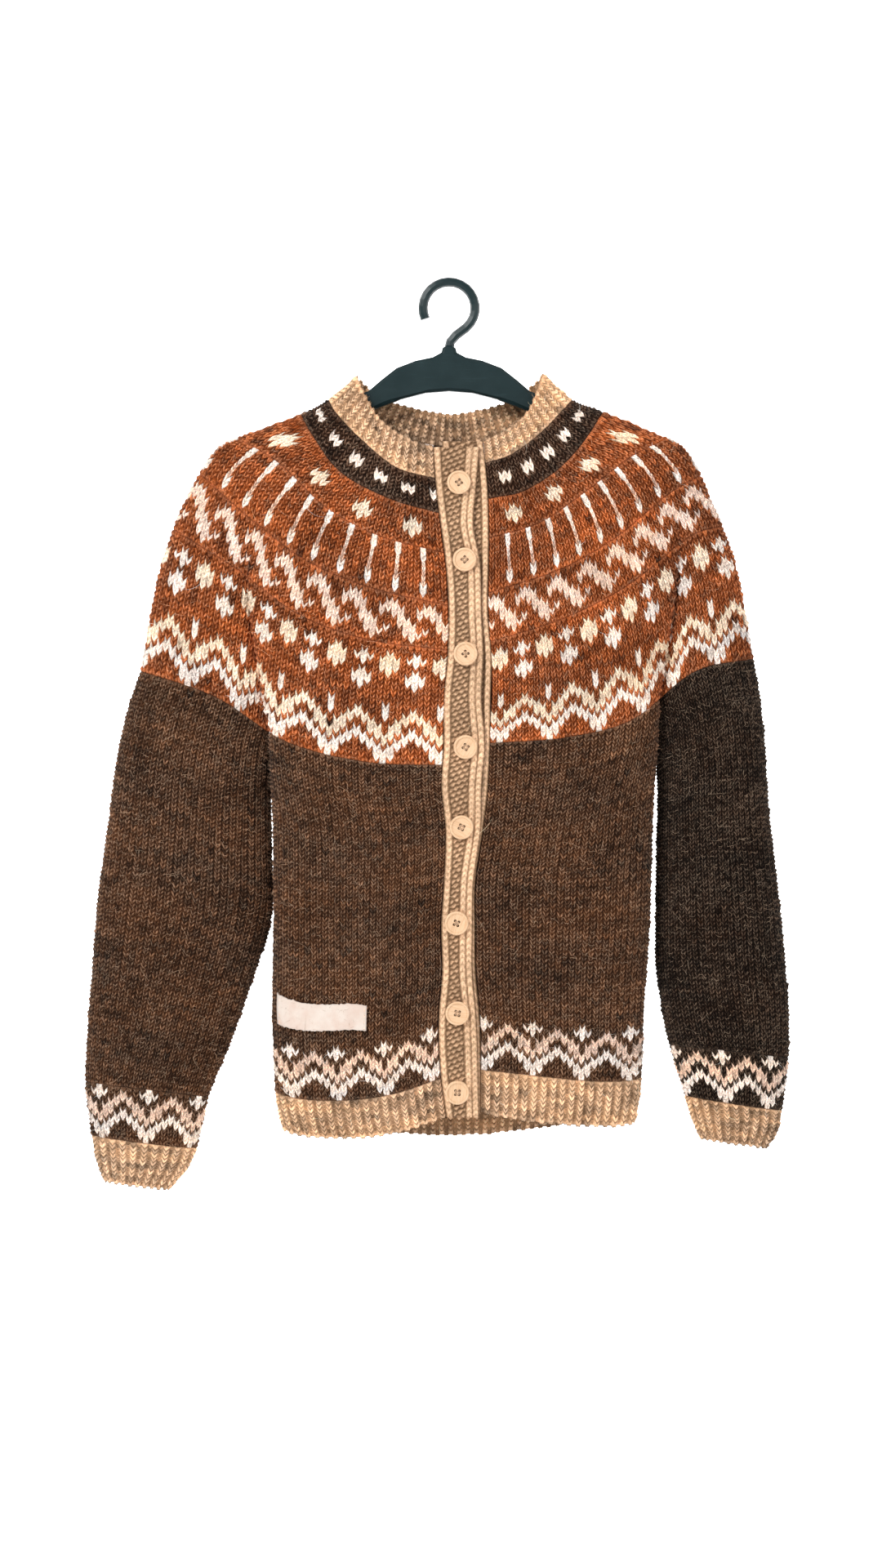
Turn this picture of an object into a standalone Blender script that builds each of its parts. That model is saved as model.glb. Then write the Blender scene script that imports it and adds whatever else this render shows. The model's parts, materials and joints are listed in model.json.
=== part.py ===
"""A hand-knit wool cardigan with a round yoke, buttoned up, on a moulded hanger.

The frame is metres, +Z up, and the front faces -Y. The origin is the point under
the top of the hanger's hook that rests on a rail. All sizes below are millimetres.
"Right" and "left" are the wearer's: the right side lies at -X.

The cloth is one ring of knitting, open at the front: it starts at the right front's
band edge, runs round the right side, the back and the left side, and ends at the left
front's band edge. Rings are stacked from the hem to the neck. At the armholes the ring
takes in the two sleeves, and each armhole leaves a deep crease in front and behind.
"""

import math

import bmesh
import bpy
import numpy as np

MM = 0.001

# ---------------------------------------------------------------- cloth and seams
WALL = 3.0                   # thickness of the knitted cloth
SEAM_GAP = 0.3               # distance between two pieces at a seam
SEAM_LEAD = 3.5              # rows beyond a seam that are read for the slope there
RIB_PITCH = 8.2              # one knit and one purl column of the 1x1 rib
RIB_HEIGHT = 1.1             # how far a knit column stands over the purl column
SIDE_OF = {"right": -1.0, "left": 1.0}

# ---------------------------------------------------------------- columns and rows
BODY_COLUMNS = 12            # from the band edge to the armhole crease
SLEEVE_COLUMNS = 9           # from the armhole crease to the top of the shoulder
UNDERARM_COLUMNS = 2         # half of the underarm
YOKE_ROWS = 10
BODY_ROWS = 9
SLEEVE_ROWS = 11
RIB_ROWS = 2
DENSE = 240                  # points of the smooth curve that each ring is read from

# ---------------------------------------------------------------- the yoke's rings
# Height is counted in knitted rows from the join of body and sleeves.
# Each ring has five stations from the band edge to the shoulder line.
STATIONS = [0.0, 0.25, 0.5, 0.75, 1.0]
YOKE_TOP_ROW = 62.0
NECKBAND_TOP_ROW = 69.0
# row, then x and z at the four stations beyond the band edge; "front" is the band edge
RIGHT_RINGS = [
    # row   front    x.25   z.25    x.5    z.5    x.75   z.75    x1     z1
    (0.0,  -403.9,  -69.4, -401.2, -136.0, -384.2, -195.8, -346.8, -259.8, -324.4),
    (19.0, -328.4,  -66.6, -323.0, -121.7, -305.3, -181.6, -264.5, -241.4, -232.6),
    (30.0, -290.4,  -67.3, -278.8, -126.5, -255.0, -177.5, -216.2, -223.0, -182.9),
    (40.5, -248.2,  -61.2, -231.2, -110.2, -208.8, -153.7, -174.8, -193.8, -136.0),
    (49.0, -214.2,  -57.1, -201.3,  -99.3, -176.8, -133.3, -140.8, -164.6, -123.1),
    (54.0, -193.1,  -50.3, -180.9,  -90.4, -159.1, -112.9, -129.9, -125.1, -108.1),
    (62.0, -163.9,  -44.9, -154.4,  -76.2, -128.5,  -94.5, -108.8, -102.0,  -95.9),
    (69.0, -137.4,  -36.0, -129.2,  -57.1, -114.2,  -69.9,  -93.8,  -78.0,  -75.8),
]
LEFT_RINGS = [
    # row   front    x.25   z.25    x.5    z.5    x.75   z.75    x1     z1
    (0.0,  -385.6,   97.2, -380.8,  153.0, -365.8,  205.4, -325.7,  256.4, -314.2),
    (19.0, -323.0,   92.5, -306.0,  144.8, -283.6,  201.3, -241.4,  238.7, -225.8),
    (30.0, -281.5,   95.9, -261.1,  149.6, -230.5,  195.8, -192.4,  221.7, -182.9),
    (40.5, -236.0,   83.6, -219.6,  124.4, -196.5,  165.9, -163.2,  198.6, -137.4),
    (49.0, -202.0,   71.4, -191.1,  104.0, -168.0,  140.8, -138.7,  170.0, -123.1),
    (54.0, -180.9,   61.9, -174.8,   91.1, -156.4,  112.9, -132.6,  129.9, -106.1),
    (62.0, -151.0,   52.4, -143.5,   76.2, -125.8,   94.5, -106.8,  104.0,  -95.9),
    (69.0, -132.6,   47.6, -123.1,   64.6, -108.8,   73.4,  -89.8,   79.4,  -74.4),
]
# row, height of the ring at the centre of the back
BACK_RINGS = [
    (0.0, -383.0), (19.0, -308.0), (30.0, -267.0), (40.5, -223.0),
    (49.0, -186.5), (54.0, -165.0), (62.0, -132.5), (69.0, -105.5),
]
CENTRE_BACK_X = 3.0

# row, station of the crease on the right, on the left, share of the full crease
CREASES = [
    (0.0, 0.56, 0.61, 1.0), (19.0, 0.69, 0.70, 0.8), (30.0, 0.70, 0.71, 0.25),
    (40.5, 0.71, 0.71, 0.0), (69.0, 0.71, 0.71, 0.0),
]
CREASE_DEPTH = 11.0          # how far the bottom of the crease stays from the middle
SLEEVE_HEAD_DEPTH = 15.0     # extra depth of the sleeve between crease and outline
SHOULDER_ROUND = 3.0         # exponent of the plain yoke's front profile
BODY_ROUND = 4.0             # exponent of the body's profile beside the crease
SLEEVE_ROUND = 2.2

# z, depth of the front and of the back from the middle plane
DEPTHS = [
    (-78.0, 19.0, 19.0), (-137.0, 26.0, 24.0), (-200.0, 29.0, 30.0),
    (-245.0, 32.0, 34.0), (-325.0, 40.0, 41.0), (-400.0, 43.0, 45.0),
    (-500.0, 43.0, 46.0), (-600.0, 42.0, 45.0), (-670.0, 40.0, 43.0),
    (-715.0, 37.0, 41.0),
]

# ---------------------------------------------------------------- the button bands
# z, band edge of the right front, free edge of the upper band, band edge of the left front
BANDS = [
    (-132.0, -14.0, 26.0, 28.5),
    (-175.0, -10.9, 22.4, 32.6),
    (-202.0, -7.5, 20.4, 33.3),
    (-233.0, -3.4, 25.8, 33.3),
    (-277.0, -0.7, 27.2, 32.6),
    (-311.0, -1.4, 28.6, 35.4),
    (-350.0, -4.8, 27.2, 34.7),
    (-389.0, -4.8, 29.9, 34.0),
    (-420.0, -6.8, 27.2, 32.6),
    (-456.0, -3.4, 26.5, 28.6),
    (-503.0, -4.8, 20.4, 21.8),
    (-535.0, -6.8, 19.7, 21.8),
    (-579.0, -6.1, 19.7, 22.4),
    (-610.0, -8.8, 22.4, 25.2),
    (-666.0, -6.8, 24.5, 26.5),
    (-697.0, -2.7, 25.2, 26.5),
]
BAND_LIFT = 4.4              # how far the upper band lies over the lower one
LIFT_WIDTH = 7.0             # width over which it rises from the right front's edge
UNDERLAP_START = 8.0         # the lower band's hidden edge, from the right front's edge
BAND_RELIEF = 0.9            # height of the knit column along each edge of a band
# share of a band's width, height of the knit columns there (1 is the full relief)
BAND_PROFILE = [(0.0, 0.0), (0.09, 1.0), (0.2, 0.0), (0.5, 0.25), (0.8, 0.0), (0.91, 1.0), (1.0, 0.0)]

# ---------------------------------------------------------------- the body below the join
# share of the way down, side of the body on the right, on the left
BODY_SIDES = [
    (0.0, -150.0, 176.0), (0.17, -147.6, 172.5), (0.37, -147.0, 170.0),
    (0.6, -147.0, 168.0), (0.8, -148.0, 163.5), (1.0, -145.5, 161.0),
]
BODY_SIDE_Y = -6.0           # the side's fold lies a little in front of the middle
FRONT_CORNER = 3.6           # exponents of the body's section, front and back
BACK_CORNER = 2.6
UNDERARM_DROP = 7.0          # sag of the underarm between the two creases
ARMHOLE_SHARE = 0.3          # share of the body's height that leads into the armhole
# share of the way round from band edge to side, height of the body's lower edge
RIGHT_WELT_TOP = [(0.0, -664.5), (0.25, -677.5), (0.5, -683.0), (0.7, -683.0), (1.0, -676.0)]
LEFT_WELT_TOP = [(0.0, -657.5), (0.3, -662.5), (0.55, -666.5), (0.8, -667.5), (1.0, -665.0)]
RIGHT_WELT_END = [(0.0, -697.0), (0.25, -709.5), (0.5, -714.5), (0.75, -714.0), (1.0, -708.5)]
LEFT_WELT_END = [(0.0, -694.0), (0.3, -701.0), (0.6, -704.5), (0.8, -705.0), (1.0, -703.0)]
BACK_WELT_TOP = -684.0       # at the centre of the back
BACK_WELT_END = -719.5
WELT_END_SIDES = (-139.0, 156.0)

# Soft folds of the body: side, share round, width, share down, length, depth
BODY_FOLDS = [
    ("right", 0.22, 0.10, 0.45, 0.50, 2.2),
    ("right", 0.62, 0.09, 0.55, 0.40, -2.4),
    ("left", 0.30, 0.12, 0.40, 0.45, -2.6),
    ("left", 0.66, 0.10, 0.60, 0.45, 2.2),
]
BACK_FOLDS = [
    ("right", 0.25, 0.12, 0.50, 0.50, 3.0),
    ("right", 0.62, 0.11, 0.45, 0.45, -2.8),
    ("left", 0.34, 0.12, 0.55, 0.50, 2.6),
    ("left", 0.70, 0.10, 0.40, 0.45, -2.6),
]

# ---------------------------------------------------------------- the sleeves
# share of the way down, outer x and z, inner x and z, half depth, middle y
RIGHT_SLEEVE = [
    (0.12, -277.0, -372.0, -151.5, -411.0, 22.0, 5.0),
    (0.33, -287.0, -446.8, -150.5, -474.0, 22.0, 9.0),
    (0.50, -296.5, -514.8, -150.5, -531.8, 21.0, 10.0),
    (0.66, -301.2, -576.0, -168.0, -589.6, 20.0, 9.0),
    (0.80, -305.3, -630.4, -187.7, -644.0, 19.0, 8.0),
    (0.91, -306.6, -674.6, -204.0, -684.8, 18.0, 7.0),
    (1.00, -301.9, -716.0, -213.5, -726.9, 17.0, 6.0),
]
LEFT_SLEEVE = [
    (0.12, 265.9, -366.0, 177.5, -396.0, 24.0, 5.0),
    (0.33, 270.0, -440.0, 176.5, -460.0, 25.0, 10.0),
    (0.50, 277.5, -505.0, 175.5, -521.6, 25.0, 11.0),
    (0.68, 283.6, -568.0, 176.5, -580.0, 23.0, 10.0),
    (0.82, 287.0, -622.0, 184.5, -630.4, 21.0, 8.0),
    (0.92, 285.5, -660.0, 193.1, -660.0, 19.0, 7.0),
    (1.00, 280.8, -695.0, 199.9, -682.7, 18.0, 6.0),
]
# share of the way down, outer x and z, inner x and z, half depth, middle y
RIGHT_CUFF = [
    (0.0, -301.9, -716.0, -213.5, -726.9, 17.0, 6.0),
    (0.55, -297.5, -738.0, -222.0, -745.0, 15.5, 5.5),
    (1.0, -291.0, -754.5, -236.5, -761.5, 13.5, 5.0),
]
LEFT_CUFF = [
    (0.0, 280.8, -695.0, 199.9, -682.7, 18.0, 6.0),
    (0.55, 277.5, -712.0, 205.5, -702.0, 16.0, 5.5),
    (1.0, 268.6, -726.5, 213.0, -719.0, 14.0, 5.0),
]
SLEEVE_SECTION_ROUND = 2.4
SLEEVE_HEAD_SHARE = 0.22     # share of the sleeve's length that leads into the sleeve head

# ---------------------------------------------------------------- buttons and label
BUTTON_RADIUS = 10.0
BUTTON_THICKNESS = 4.2
BUTTON_RIM = 2.2             # width of the raised rim
BUTTON_DISH = 1.1            # depth of the dished middle
BUTTON_HOLE_RADIUS = 1.0
BUTTON_HOLE_PITCH = 3.2
BUTTON_SIDES = 18
BUTTON_SEAT = 0.3
# x and z of each button, from the neck to the hem
BUTTONS = [
    (8.2, -168.0), (12.9, -232.6), (13.6, -311.4), (13.6, -389.0),
    (10.2, -455.6), (6.1, -535.2), (6.8, -610.0), (6.8, -676.0),
]
LABEL_CORNERS = [(-142.5, -594.5), (-68.5, -604.0), (-69.0, -625.0), (-142.5, -620.0)]
LABEL_ROWS = 2
LABEL_GAP = 0.4
LABEL_THICKNESS = 0.9

# ---------------------------------------------------------------- the hanger
HANGER_THICKNESS = 12.0
HANGER_EDGE = 2.4            # rounding of its edges
HOOK_RADIUS = 22.0           # of the hook's centre line
HOOK_WIRE = 4.0
HOOK_END_ANGLE = 205.0
HANGER_REST_GAP = 1.8        # between the arm's top and the inside of the cloth
ARM_HEIGHT = 17.0
ARM_TIP_ROW = 36.0           # the arm's top ends at the last ring over this row
# half outline of the hanger's neck, from the stem outwards (x, z)
HANGER_NECK = [(5.0, -50.0), (6.5, -56.0), (14.0, -60.0), (28.0, -62.8), (44.2, -69.0), (57.0, -79.0), (68.0, -88.5)]
# half outline of the arch under the neck, from the middle outwards (x, z)
HANGER_ARCH = [(0.0, -88.4), (20.0, -90.0), (40.0, -95.0), (61.0, -103.0), (80.0, -111.5)]

# ---------------------------------------------------------------- colours (linear RGB)
BROWN_WOOL = (0.075, 0.037, 0.020)
RUST_WOOL = (0.27, 0.082, 0.028)
TAN_WOOL = (0.55, 0.33, 0.18)
LIGHT_WOOD = (0.80, 0.47, 0.27)
LABEL_TAPE = (0.88, 0.73, 0.64)
HANGER_PLASTIC = (0.014, 0.030, 0.033)


def clear_scene():
    """Remove every object that the file holds."""
    for item in list(bpy.data.objects):
        bpy.data.objects.remove(item, do_unlink=True)


def new_collection(name):
    """Make a collection in the scene."""
    collection = bpy.data.collections.new(name)
    bpy.context.scene.collection.children.link(collection)
    return collection


def make_material(name, colour, roughness, metallic=0.0):
    """A Principled BSDF with one colour."""
    material = bpy.data.materials.new(name)
    material.use_nodes = True
    shader = material.node_tree.nodes["Principled BSDF"]
    shader.inputs["Base Color"].default_value = (*colour, 1.0)
    shader.inputs["Roughness"].default_value = roughness
    shader.inputs["Metallic"].default_value = metallic
    material.diffuse_color = (*colour, 1.0)
    return material


# ================================================================ curves
def smooth(knots, values, at, flat_start=False):
    """Read a smooth curve through the values at the knots (cubic Hermite)."""
    knots = np.asarray(knots, dtype=float)
    values = np.asarray(values, dtype=float)
    at = np.clip(np.asarray(at, dtype=float), knots[0], knots[-1])
    slopes = np.gradient(values, knots, axis=0)
    if flat_start:
        slopes[0] = 0.0
    index = np.clip(np.searchsorted(knots, at, side="right") - 1, 0, len(knots) - 2)
    span = knots[index + 1] - knots[index]
    t = (at - knots[index]) / span
    shape = t.shape + (1,) * (values.ndim - 1)
    t = t.reshape(shape)
    span = span.reshape(shape)
    start = (2.0 * t**3 - 3.0 * t**2 + 1.0) * values[index]
    start_slope = (t**3 - 2.0 * t**2 + t) * span * slopes[index]
    end = (3.0 * t**2 - 2.0 * t**3) * values[index + 1]
    end_slope = (t**3 - t**2) * span * slopes[index + 1]
    return start + start_slope + end + end_slope


def table(rows, at, column=1):
    """Read one column of a table whose first column holds the knots, in any order."""
    ordered = sorted(rows, key=lambda row: row[0])
    knots = [row[0] for row in ordered]
    values = [row[column] for row in ordered]
    return smooth(knots, values, at)


def smoothstep(value):
    """Rise from 0 to 1 with flat ends."""
    value = np.clip(value, 0.0, 1.0)
    return value * value * (3.0 - 2.0 * value)


def arc_lengths(points):
    """Distance along a line of points."""
    steps = np.linalg.norm(np.diff(points, axis=0), axis=1)
    return np.concatenate([[0.0], np.cumsum(steps)])


def spaced(points, shares):
    """Points at the given shares of a dense line's length."""
    along = arc_lengths(points)
    wanted = np.asarray(shares) * along[-1]
    return np.stack([np.interp(wanted, along, points[:, axis]) for axis in range(3)], axis=1)


def front_depth(z):
    """Distance of the front from the middle plane."""
    return table(DEPTHS, z, 1)


def back_depth(z):
    """Distance of the back from the middle plane."""
    return table(DEPTHS, z, 2)


def band_edge(side, z):
    """Where the front of one side ends at its button band."""
    return table(BANDS, z, 1 if side == "right" else 3)


# ================================================================ the yoke
def ring_tables(side):
    """The table of one side as knots and an array of station points (x, z)."""
    rows = RIGHT_RINGS if side == "right" else LEFT_RINGS
    knots = [row[0] for row in rows]
    stations = []
    for row in rows:
        front = (float(band_edge(side, row[1])), row[1])
        beyond = [(row[2 + 2 * index], row[3 + 2 * index]) for index in range(4)]
        stations.append([front] + beyond)
    return knots, np.array(stations)


def crease_at(side, row):
    """Station and strength of the armhole crease at a row."""
    station = float(table(CREASES, row, 1 if side == "right" else 2))
    strength = float(np.clip(table(CREASES, row, 3), 0.0, 1.0))
    return station, strength


def half_ring(side, row, back=False):
    """Dense half ring from the band edge or the centre back to the shoulder line.

    Returns the points and the index of the crease among them.
    """
    knots, stations = ring_tables(side)
    controls = smooth(knots, stations, row)
    crease, strength = crease_at(side, row)
    share = np.unique(np.concatenate([
        crease * np.linspace(0.0, 1.0, DENSE) ** 0.7,
        crease + (1.0 - crease) * (0.5 - 0.5 * np.cos(np.pi * np.linspace(0.0, 1.0, DENSE))),
        1.0 - np.linspace(0.0, 0.2, 60) ** 2.5,
    ]))
    crease_index = int(np.argmin(np.abs(share - crease)))
    if back:
        tip = controls[-1]
        other = "left" if side == "right" else "right"
        both = [controls, smooth(*ring_tables(other), row)]
        parts = [(line - line[0]) / (line[-1] - line[0]) for line in both]
        mean = 0.5 * (parts[0] + parts[1])
        centre = np.array([CENTRE_BACK_X, float(table(BACK_RINGS, row, 1))])
        across = smooth(STATIONS, mean[:, 0], share)
        upward = smooth(STATIONS, mean[:, 1], share, flat_start=True)
        x = centre[0] + (tip[0] - centre[0]) * across
        z = centre[1] + (tip[1] - centre[1]) * upward
        depth = back_depth(z)
    else:
        plane = smooth(STATIONS, controls, share)
        x, z = plane[:, 0], plane[:, 1]
        depth = front_depth(z)
    plain = depth * (1.0 - share**SHOULDER_ROUND) ** (1.0 / SHOULDER_ROUND)
    body = np.clip(share / crease, 0.0, 1.0)
    body_y = CREASE_DEPTH + (depth - CREASE_DEPTH) * (1.0 - body**BODY_ROUND) ** (1.0 / BODY_ROUND)
    head = np.clip((share - crease) / (1.0 - crease), 0.0, 1.0)
    swell = (1.0 - np.abs(2.0 * head - 1.0) ** SLEEVE_ROUND) ** (1.0 / SLEEVE_ROUND)
    head_y = CREASE_DEPTH * (1.0 - head) + SLEEVE_HEAD_DEPTH * swell
    folded = np.where(share < crease, body_y, head_y)
    y = plain * (1.0 - strength) + folded * strength
    return np.stack([x, y if back else -y, z], axis=1), crease_index


def ring_part(side, row, back, part, shares):
    """One stretch of a half ring: "body" up to the crease, or "head" beyond it."""
    points, crease_index = half_ring(side, row, back)
    stretch = points[:crease_index + 1] if part == "body" else points[crease_index:]
    return spaced(stretch, shares)


def even(count):
    """Shares of a stretch with equal steps, both ends included."""
    return np.linspace(0.0, 1.0, count + 1)


def half_ring_points(side, row, back, body_shares, head_shares):
    """Sampled half ring, from the band edge or the centre back to the shoulder line."""
    body = ring_part(side, row, back, "body", body_shares)
    head = ring_part(side, row, back, "head", head_shares)
    return np.concatenate([body, head[1:]])


def yoke_ring(row, body_shares, head_shares):
    """The whole ring of the yoke, from the right band edge round to the left one."""
    halves = {}
    for side in SIDE_OF:
        for back in (False, True):
            halves[side, back] = half_ring_points(side, row, back, body_shares, head_shares)
    return np.concatenate([
        halves["right", False],
        halves["right", True][::-1][1:],
        halves["left", True][1:],
        halves["left", False][::-1][1:],
    ])


# ================================================================ the body
def underarm_arc(side, count):
    """Half of the underarm, from the front crease to its lowest point, and the back half."""
    arcs = {}
    for back in (False, True):
        crease_point = ring_part(side, 0.0, back, "body", [1.0])[0]
        share = even(count)
        y = crease_point[1] * np.cos(share * math.pi / 2)
        drop = UNDERARM_DROP * np.sin(share * math.pi / 2) ** 1.5
        arcs[back] = np.stack([
            np.full(count + 1, crease_point[0]), y, crease_point[2] - drop,
        ], axis=1)
    middle = 0.5 * (arcs[False][-1] + arcs[True][-1])
    for back in (False, True):
        shift = middle - arcs[back][-1]
        arcs[back] = arcs[back] + shift * even(count)[:, None]
    return arcs


def body_section(side, down, back, z, side_x=None):
    """Dense section of the body from the band edge or the centre back to the side."""
    if side_x is None:
        side_x = float(table(BODY_SIDES, down, 1 if side == "right" else 2))
    start_x = CENTRE_BACK_X if back else float(band_edge(side, z))
    depth = float(back_depth(z) if back else front_depth(z))
    corner = BACK_CORNER if back else FRONT_CORNER
    angle = np.linspace(0.0, math.pi / 2, DENSE)
    across = np.sin(angle) ** (2.0 / corner)
    forward = np.cos(angle) ** (2.0 / corner)
    x = start_x + (side_x - start_x) * across
    edge_y = depth - BODY_SIDE_Y if back else depth + BODY_SIDE_Y
    y = BODY_SIDE_Y + edge_y * forward * (1.0 if back else -1.0)
    return np.stack([x, y, np.full(DENSE, z)], axis=1)


def fold_offset(folds, side, around, down):
    """Sum of the soft folds at a place on the body."""
    total = 0.0
    for fold_side, centre, width, middle, length, depth in folds:
        if fold_side != side:
            continue
        across = np.exp(-(((around - centre) / width) ** 2))
        along = np.exp(-(((down - middle) / length) ** 2))
        total = total + depth * across * along
    return total


def welt_height(side, back, around, edge):
    """Height of the body's lower edge ("top" of the welt) or of the welt's end."""
    if back:
        centre = BACK_WELT_TOP if edge == "top" else BACK_WELT_END
        side_height = float(welt_height(side, False, 1.0, edge))
        return centre + (side_height - centre) * smoothstep(around)
    rows = {
        ("right", "top"): RIGHT_WELT_TOP, ("left", "top"): LEFT_WELT_TOP,
        ("right", "end"): RIGHT_WELT_END, ("left", "end"): LEFT_WELT_END,
    }[side, edge]
    return table(rows, around)


def body_quarter(side, back, down, body_shares, underarm_count):
    """One quarter of the body's ring, from the band edge or centre back to the side."""
    armhole = ring_part(side, 0.0, back, "body", body_shares)
    arc = underarm_arc(side, underarm_count)[back]
    top = np.concatenate([armhole, arc[1:]])
    around = arc_lengths(top)
    around = around / around[-1]
    top_height = top[:, 2]
    low_height = welt_height(side, back, around, "top")
    height = top_height + (low_height - top_height) * down
    section = body_section(side, down, back, float(height[0]))
    low = spaced(section, around)
    blend = smoothstep(down / ARMHOLE_SHARE)
    points = top * (1.0 - blend) + low * blend
    points[:, 2] = height
    points[0, 0] = CENTRE_BACK_X if back else float(band_edge(side, height[0]))
    folds = BACK_FOLDS if back else BODY_FOLDS
    offset = fold_offset(folds, side, around, down) * smoothstep(down / ARMHOLE_SHARE)
    points[:, 1] += offset * (1.0 if back else -1.0) * (1.0 - smoothstep((around - 0.8) / 0.2))
    return points


def body_ring(down, body_shares, underarm_count):
    """The whole ring of the body, from the right band edge round to the left one."""
    quarters = {}
    for side in SIDE_OF:
        for back in (False, True):
            quarters[side, back] = body_quarter(side, back, down, body_shares, underarm_count)
    return np.concatenate([
        quarters["right", False],
        quarters["right", True][::-1][1:],
        quarters["left", True][1:],
        quarters["left", False][::-1][1:],
    ])


# ================================================================ the welt
def welt_quarter(side, back, down, count):
    """One quarter of the ribbed welt at the body's lower edge."""
    around = even(count)
    top_height = welt_height(side, back, around, "top")
    end_height = welt_height(side, back, around, "end")
    height = top_height + (end_height - top_height) * down
    top_side = float(table(BODY_SIDES, 1.0, 1 if side == "right" else 2))
    end_side = WELT_END_SIDES[0 if side == "right" else 1]
    side_x = top_side + (end_side - top_side) * down**1.6
    points = spaced(body_section(side, 1.0, back, float(height[0]), side_x), around)
    points[:, 2] = height
    folds = BACK_FOLDS if back else BODY_FOLDS
    offset = fold_offset(folds, side, around, 1.0)
    points[:, 1] += offset * (1.0 if back else -1.0) * (1.0 - smoothstep((around - 0.8) / 0.2))
    return points


def welt_ring(down, counts):
    """The whole welt, with a number of steps for each quarter."""
    parts = {key: welt_quarter(*key, down, count) for key, count in counts.items()}
    return np.concatenate([
        parts["right", False],
        parts["right", True][::-1][1:],
        parts["left", True][1:],
        parts["left", False][::-1][1:],
    ])


# ================================================================ the sleeves
def sleeve_section(rows, down, count):
    """Closed section of a sleeve, from its inner edge by the front and back again."""
    down = np.clip(down, rows[0][0], rows[-1][0])
    values = smooth([row[0] for row in rows], [row[1:] for row in rows], down)
    outer = np.array([values[0], values[1]])
    inner = np.array([values[2], values[3]])
    half_depth, middle = values[4], values[5]
    angle = np.linspace(0.0, 2.0 * math.pi, 4 * DENSE + 1)
    power = 2.0 / SLEEVE_SECTION_ROUND
    along = np.sign(np.cos(angle)) * np.abs(np.cos(angle)) ** power
    across = np.sign(np.sin(angle)) * np.abs(np.sin(angle)) ** power
    centre = 0.5 * (inner + outer)
    reach = 0.5 * (inner - outer)
    dense = np.stack([
        centre[0] + reach[0] * along, middle - half_depth * across, centre[1] + reach[1] * along,
    ], axis=1)
    return dense if count is None else spaced(dense, even(count))


def sleeve_head_ring(side, head_shares, underarm_count):
    """The sleeve's top ring, from the underarm by the front to the shoulder and back."""
    arcs = underarm_arc(side, underarm_count)
    front = ring_part(side, 0.0, False, "head", head_shares)
    rear = ring_part(side, 0.0, True, "head", head_shares)
    return np.concatenate([arcs[False][::-1], front[1:], rear[::-1][1:], arcs[True][1:]])


def sleeve_ring(side, down, head_shares, underarm_count):
    """A ring of the sleeve: the sleeve head blends into the plain sections below."""
    top = sleeve_head_ring(side, head_shares, underarm_count)
    shares = arc_lengths(top)
    shares = shares / shares[-1]
    rows = RIGHT_SLEEVE if side == "right" else LEFT_SLEEVE
    first = rows[0][0]
    low = spaced(sleeve_section(rows, max(down, first), None), shares)
    if down < first:
        lead = spaced(sleeve_section(rows, first, None), shares)
        share = down / first
        low = top * (1.0 - share) + lead * share
    blend = smoothstep(down / SLEEVE_HEAD_SHARE)
    return top * (1.0 - blend) + low * blend if down < first else low


# ================================================================ walls
def normals_of(rings, closed, level=()):
    """Outward normals of a grid of rings, rows running upwards.

    The rows listed in level get level normals, so that both pieces at a seam match.
    """
    upward = np.gradient(rings, axis=0)
    if closed:
        onward = np.roll(rings, -1, axis=1) - np.roll(rings, 1, axis=1)
    else:
        onward = np.gradient(rings, axis=1)
    normals = np.cross(upward, onward)
    for row in level:
        normals[row] = np.stack([-onward[row, :, 1], onward[row, :, 0], 0.0 * onward[row, :, 0]], axis=1)
    length = np.linalg.norm(normals, axis=2, keepdims=True)
    return normals / np.maximum(length, 1e-9)


def join_normals():
    """Level normals along the join of yoke, body and sleeves, from the band edge round."""
    ring = yoke_ring(0.0, even(BODY_COLUMNS), even(SLEEVE_COLUMNS))
    onward = np.gradient(ring, axis=0)
    level = np.stack([-onward[:, 1], onward[:, 0], 0.0 * onward[:, 0]], axis=1)
    return level / np.linalg.norm(level, axis=1, keepdims=True)


def share_with_body(normals):
    """Give the body's top ring the join's normals, up to the creases."""
    join = join_normals()
    half = BODY_COLUMNS + SLEEVE_COLUMNS
    quarter = BODY_COLUMNS + UNDERARM_COLUMNS
    for start, end, source in (
        (0, BODY_COLUMNS, 0),
        (2 * quarter - BODY_COLUMNS + 1, 2 * quarter + BODY_COLUMNS, 2 * half - BODY_COLUMNS + 1),
        (4 * quarter - BODY_COLUMNS + 1, 4 * quarter + 1, 4 * half - BODY_COLUMNS + 1),
    ):
        normals[-1, start:end] = join[source:source + end - start]


def share_with_sleeve(normals, side):
    """Give a sleeve's top ring the join's normals, between the creases."""
    join = join_normals()
    half = BODY_COLUMNS + SLEEVE_COLUMNS
    first = BODY_COLUMNS if side == "right" else 2 * half + BODY_COLUMNS
    count = 2 * SLEEVE_COLUMNS - 1
    start = UNDERARM_COLUMNS + (1 if side == "right" else 0)
    normals[-1, start:start + count] = join[first + 1:first + 1 + count]


def trim(points, axis, start, end, gap=SEAM_GAP / 2):
    """Draw the first or last line of a grid back from its seam by half the gap."""
    points = points.copy()
    lines = np.moveaxis(points, axis, 0)
    if start:
        step = lines[1] - lines[0]
        lines[0] += step * (gap / np.linalg.norm(step, axis=-1, keepdims=True))
    if end:
        step = lines[-2] - lines[-1]
        lines[-1] += step * (gap / np.linalg.norm(step, axis=-1, keepdims=True))
    return points


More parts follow.
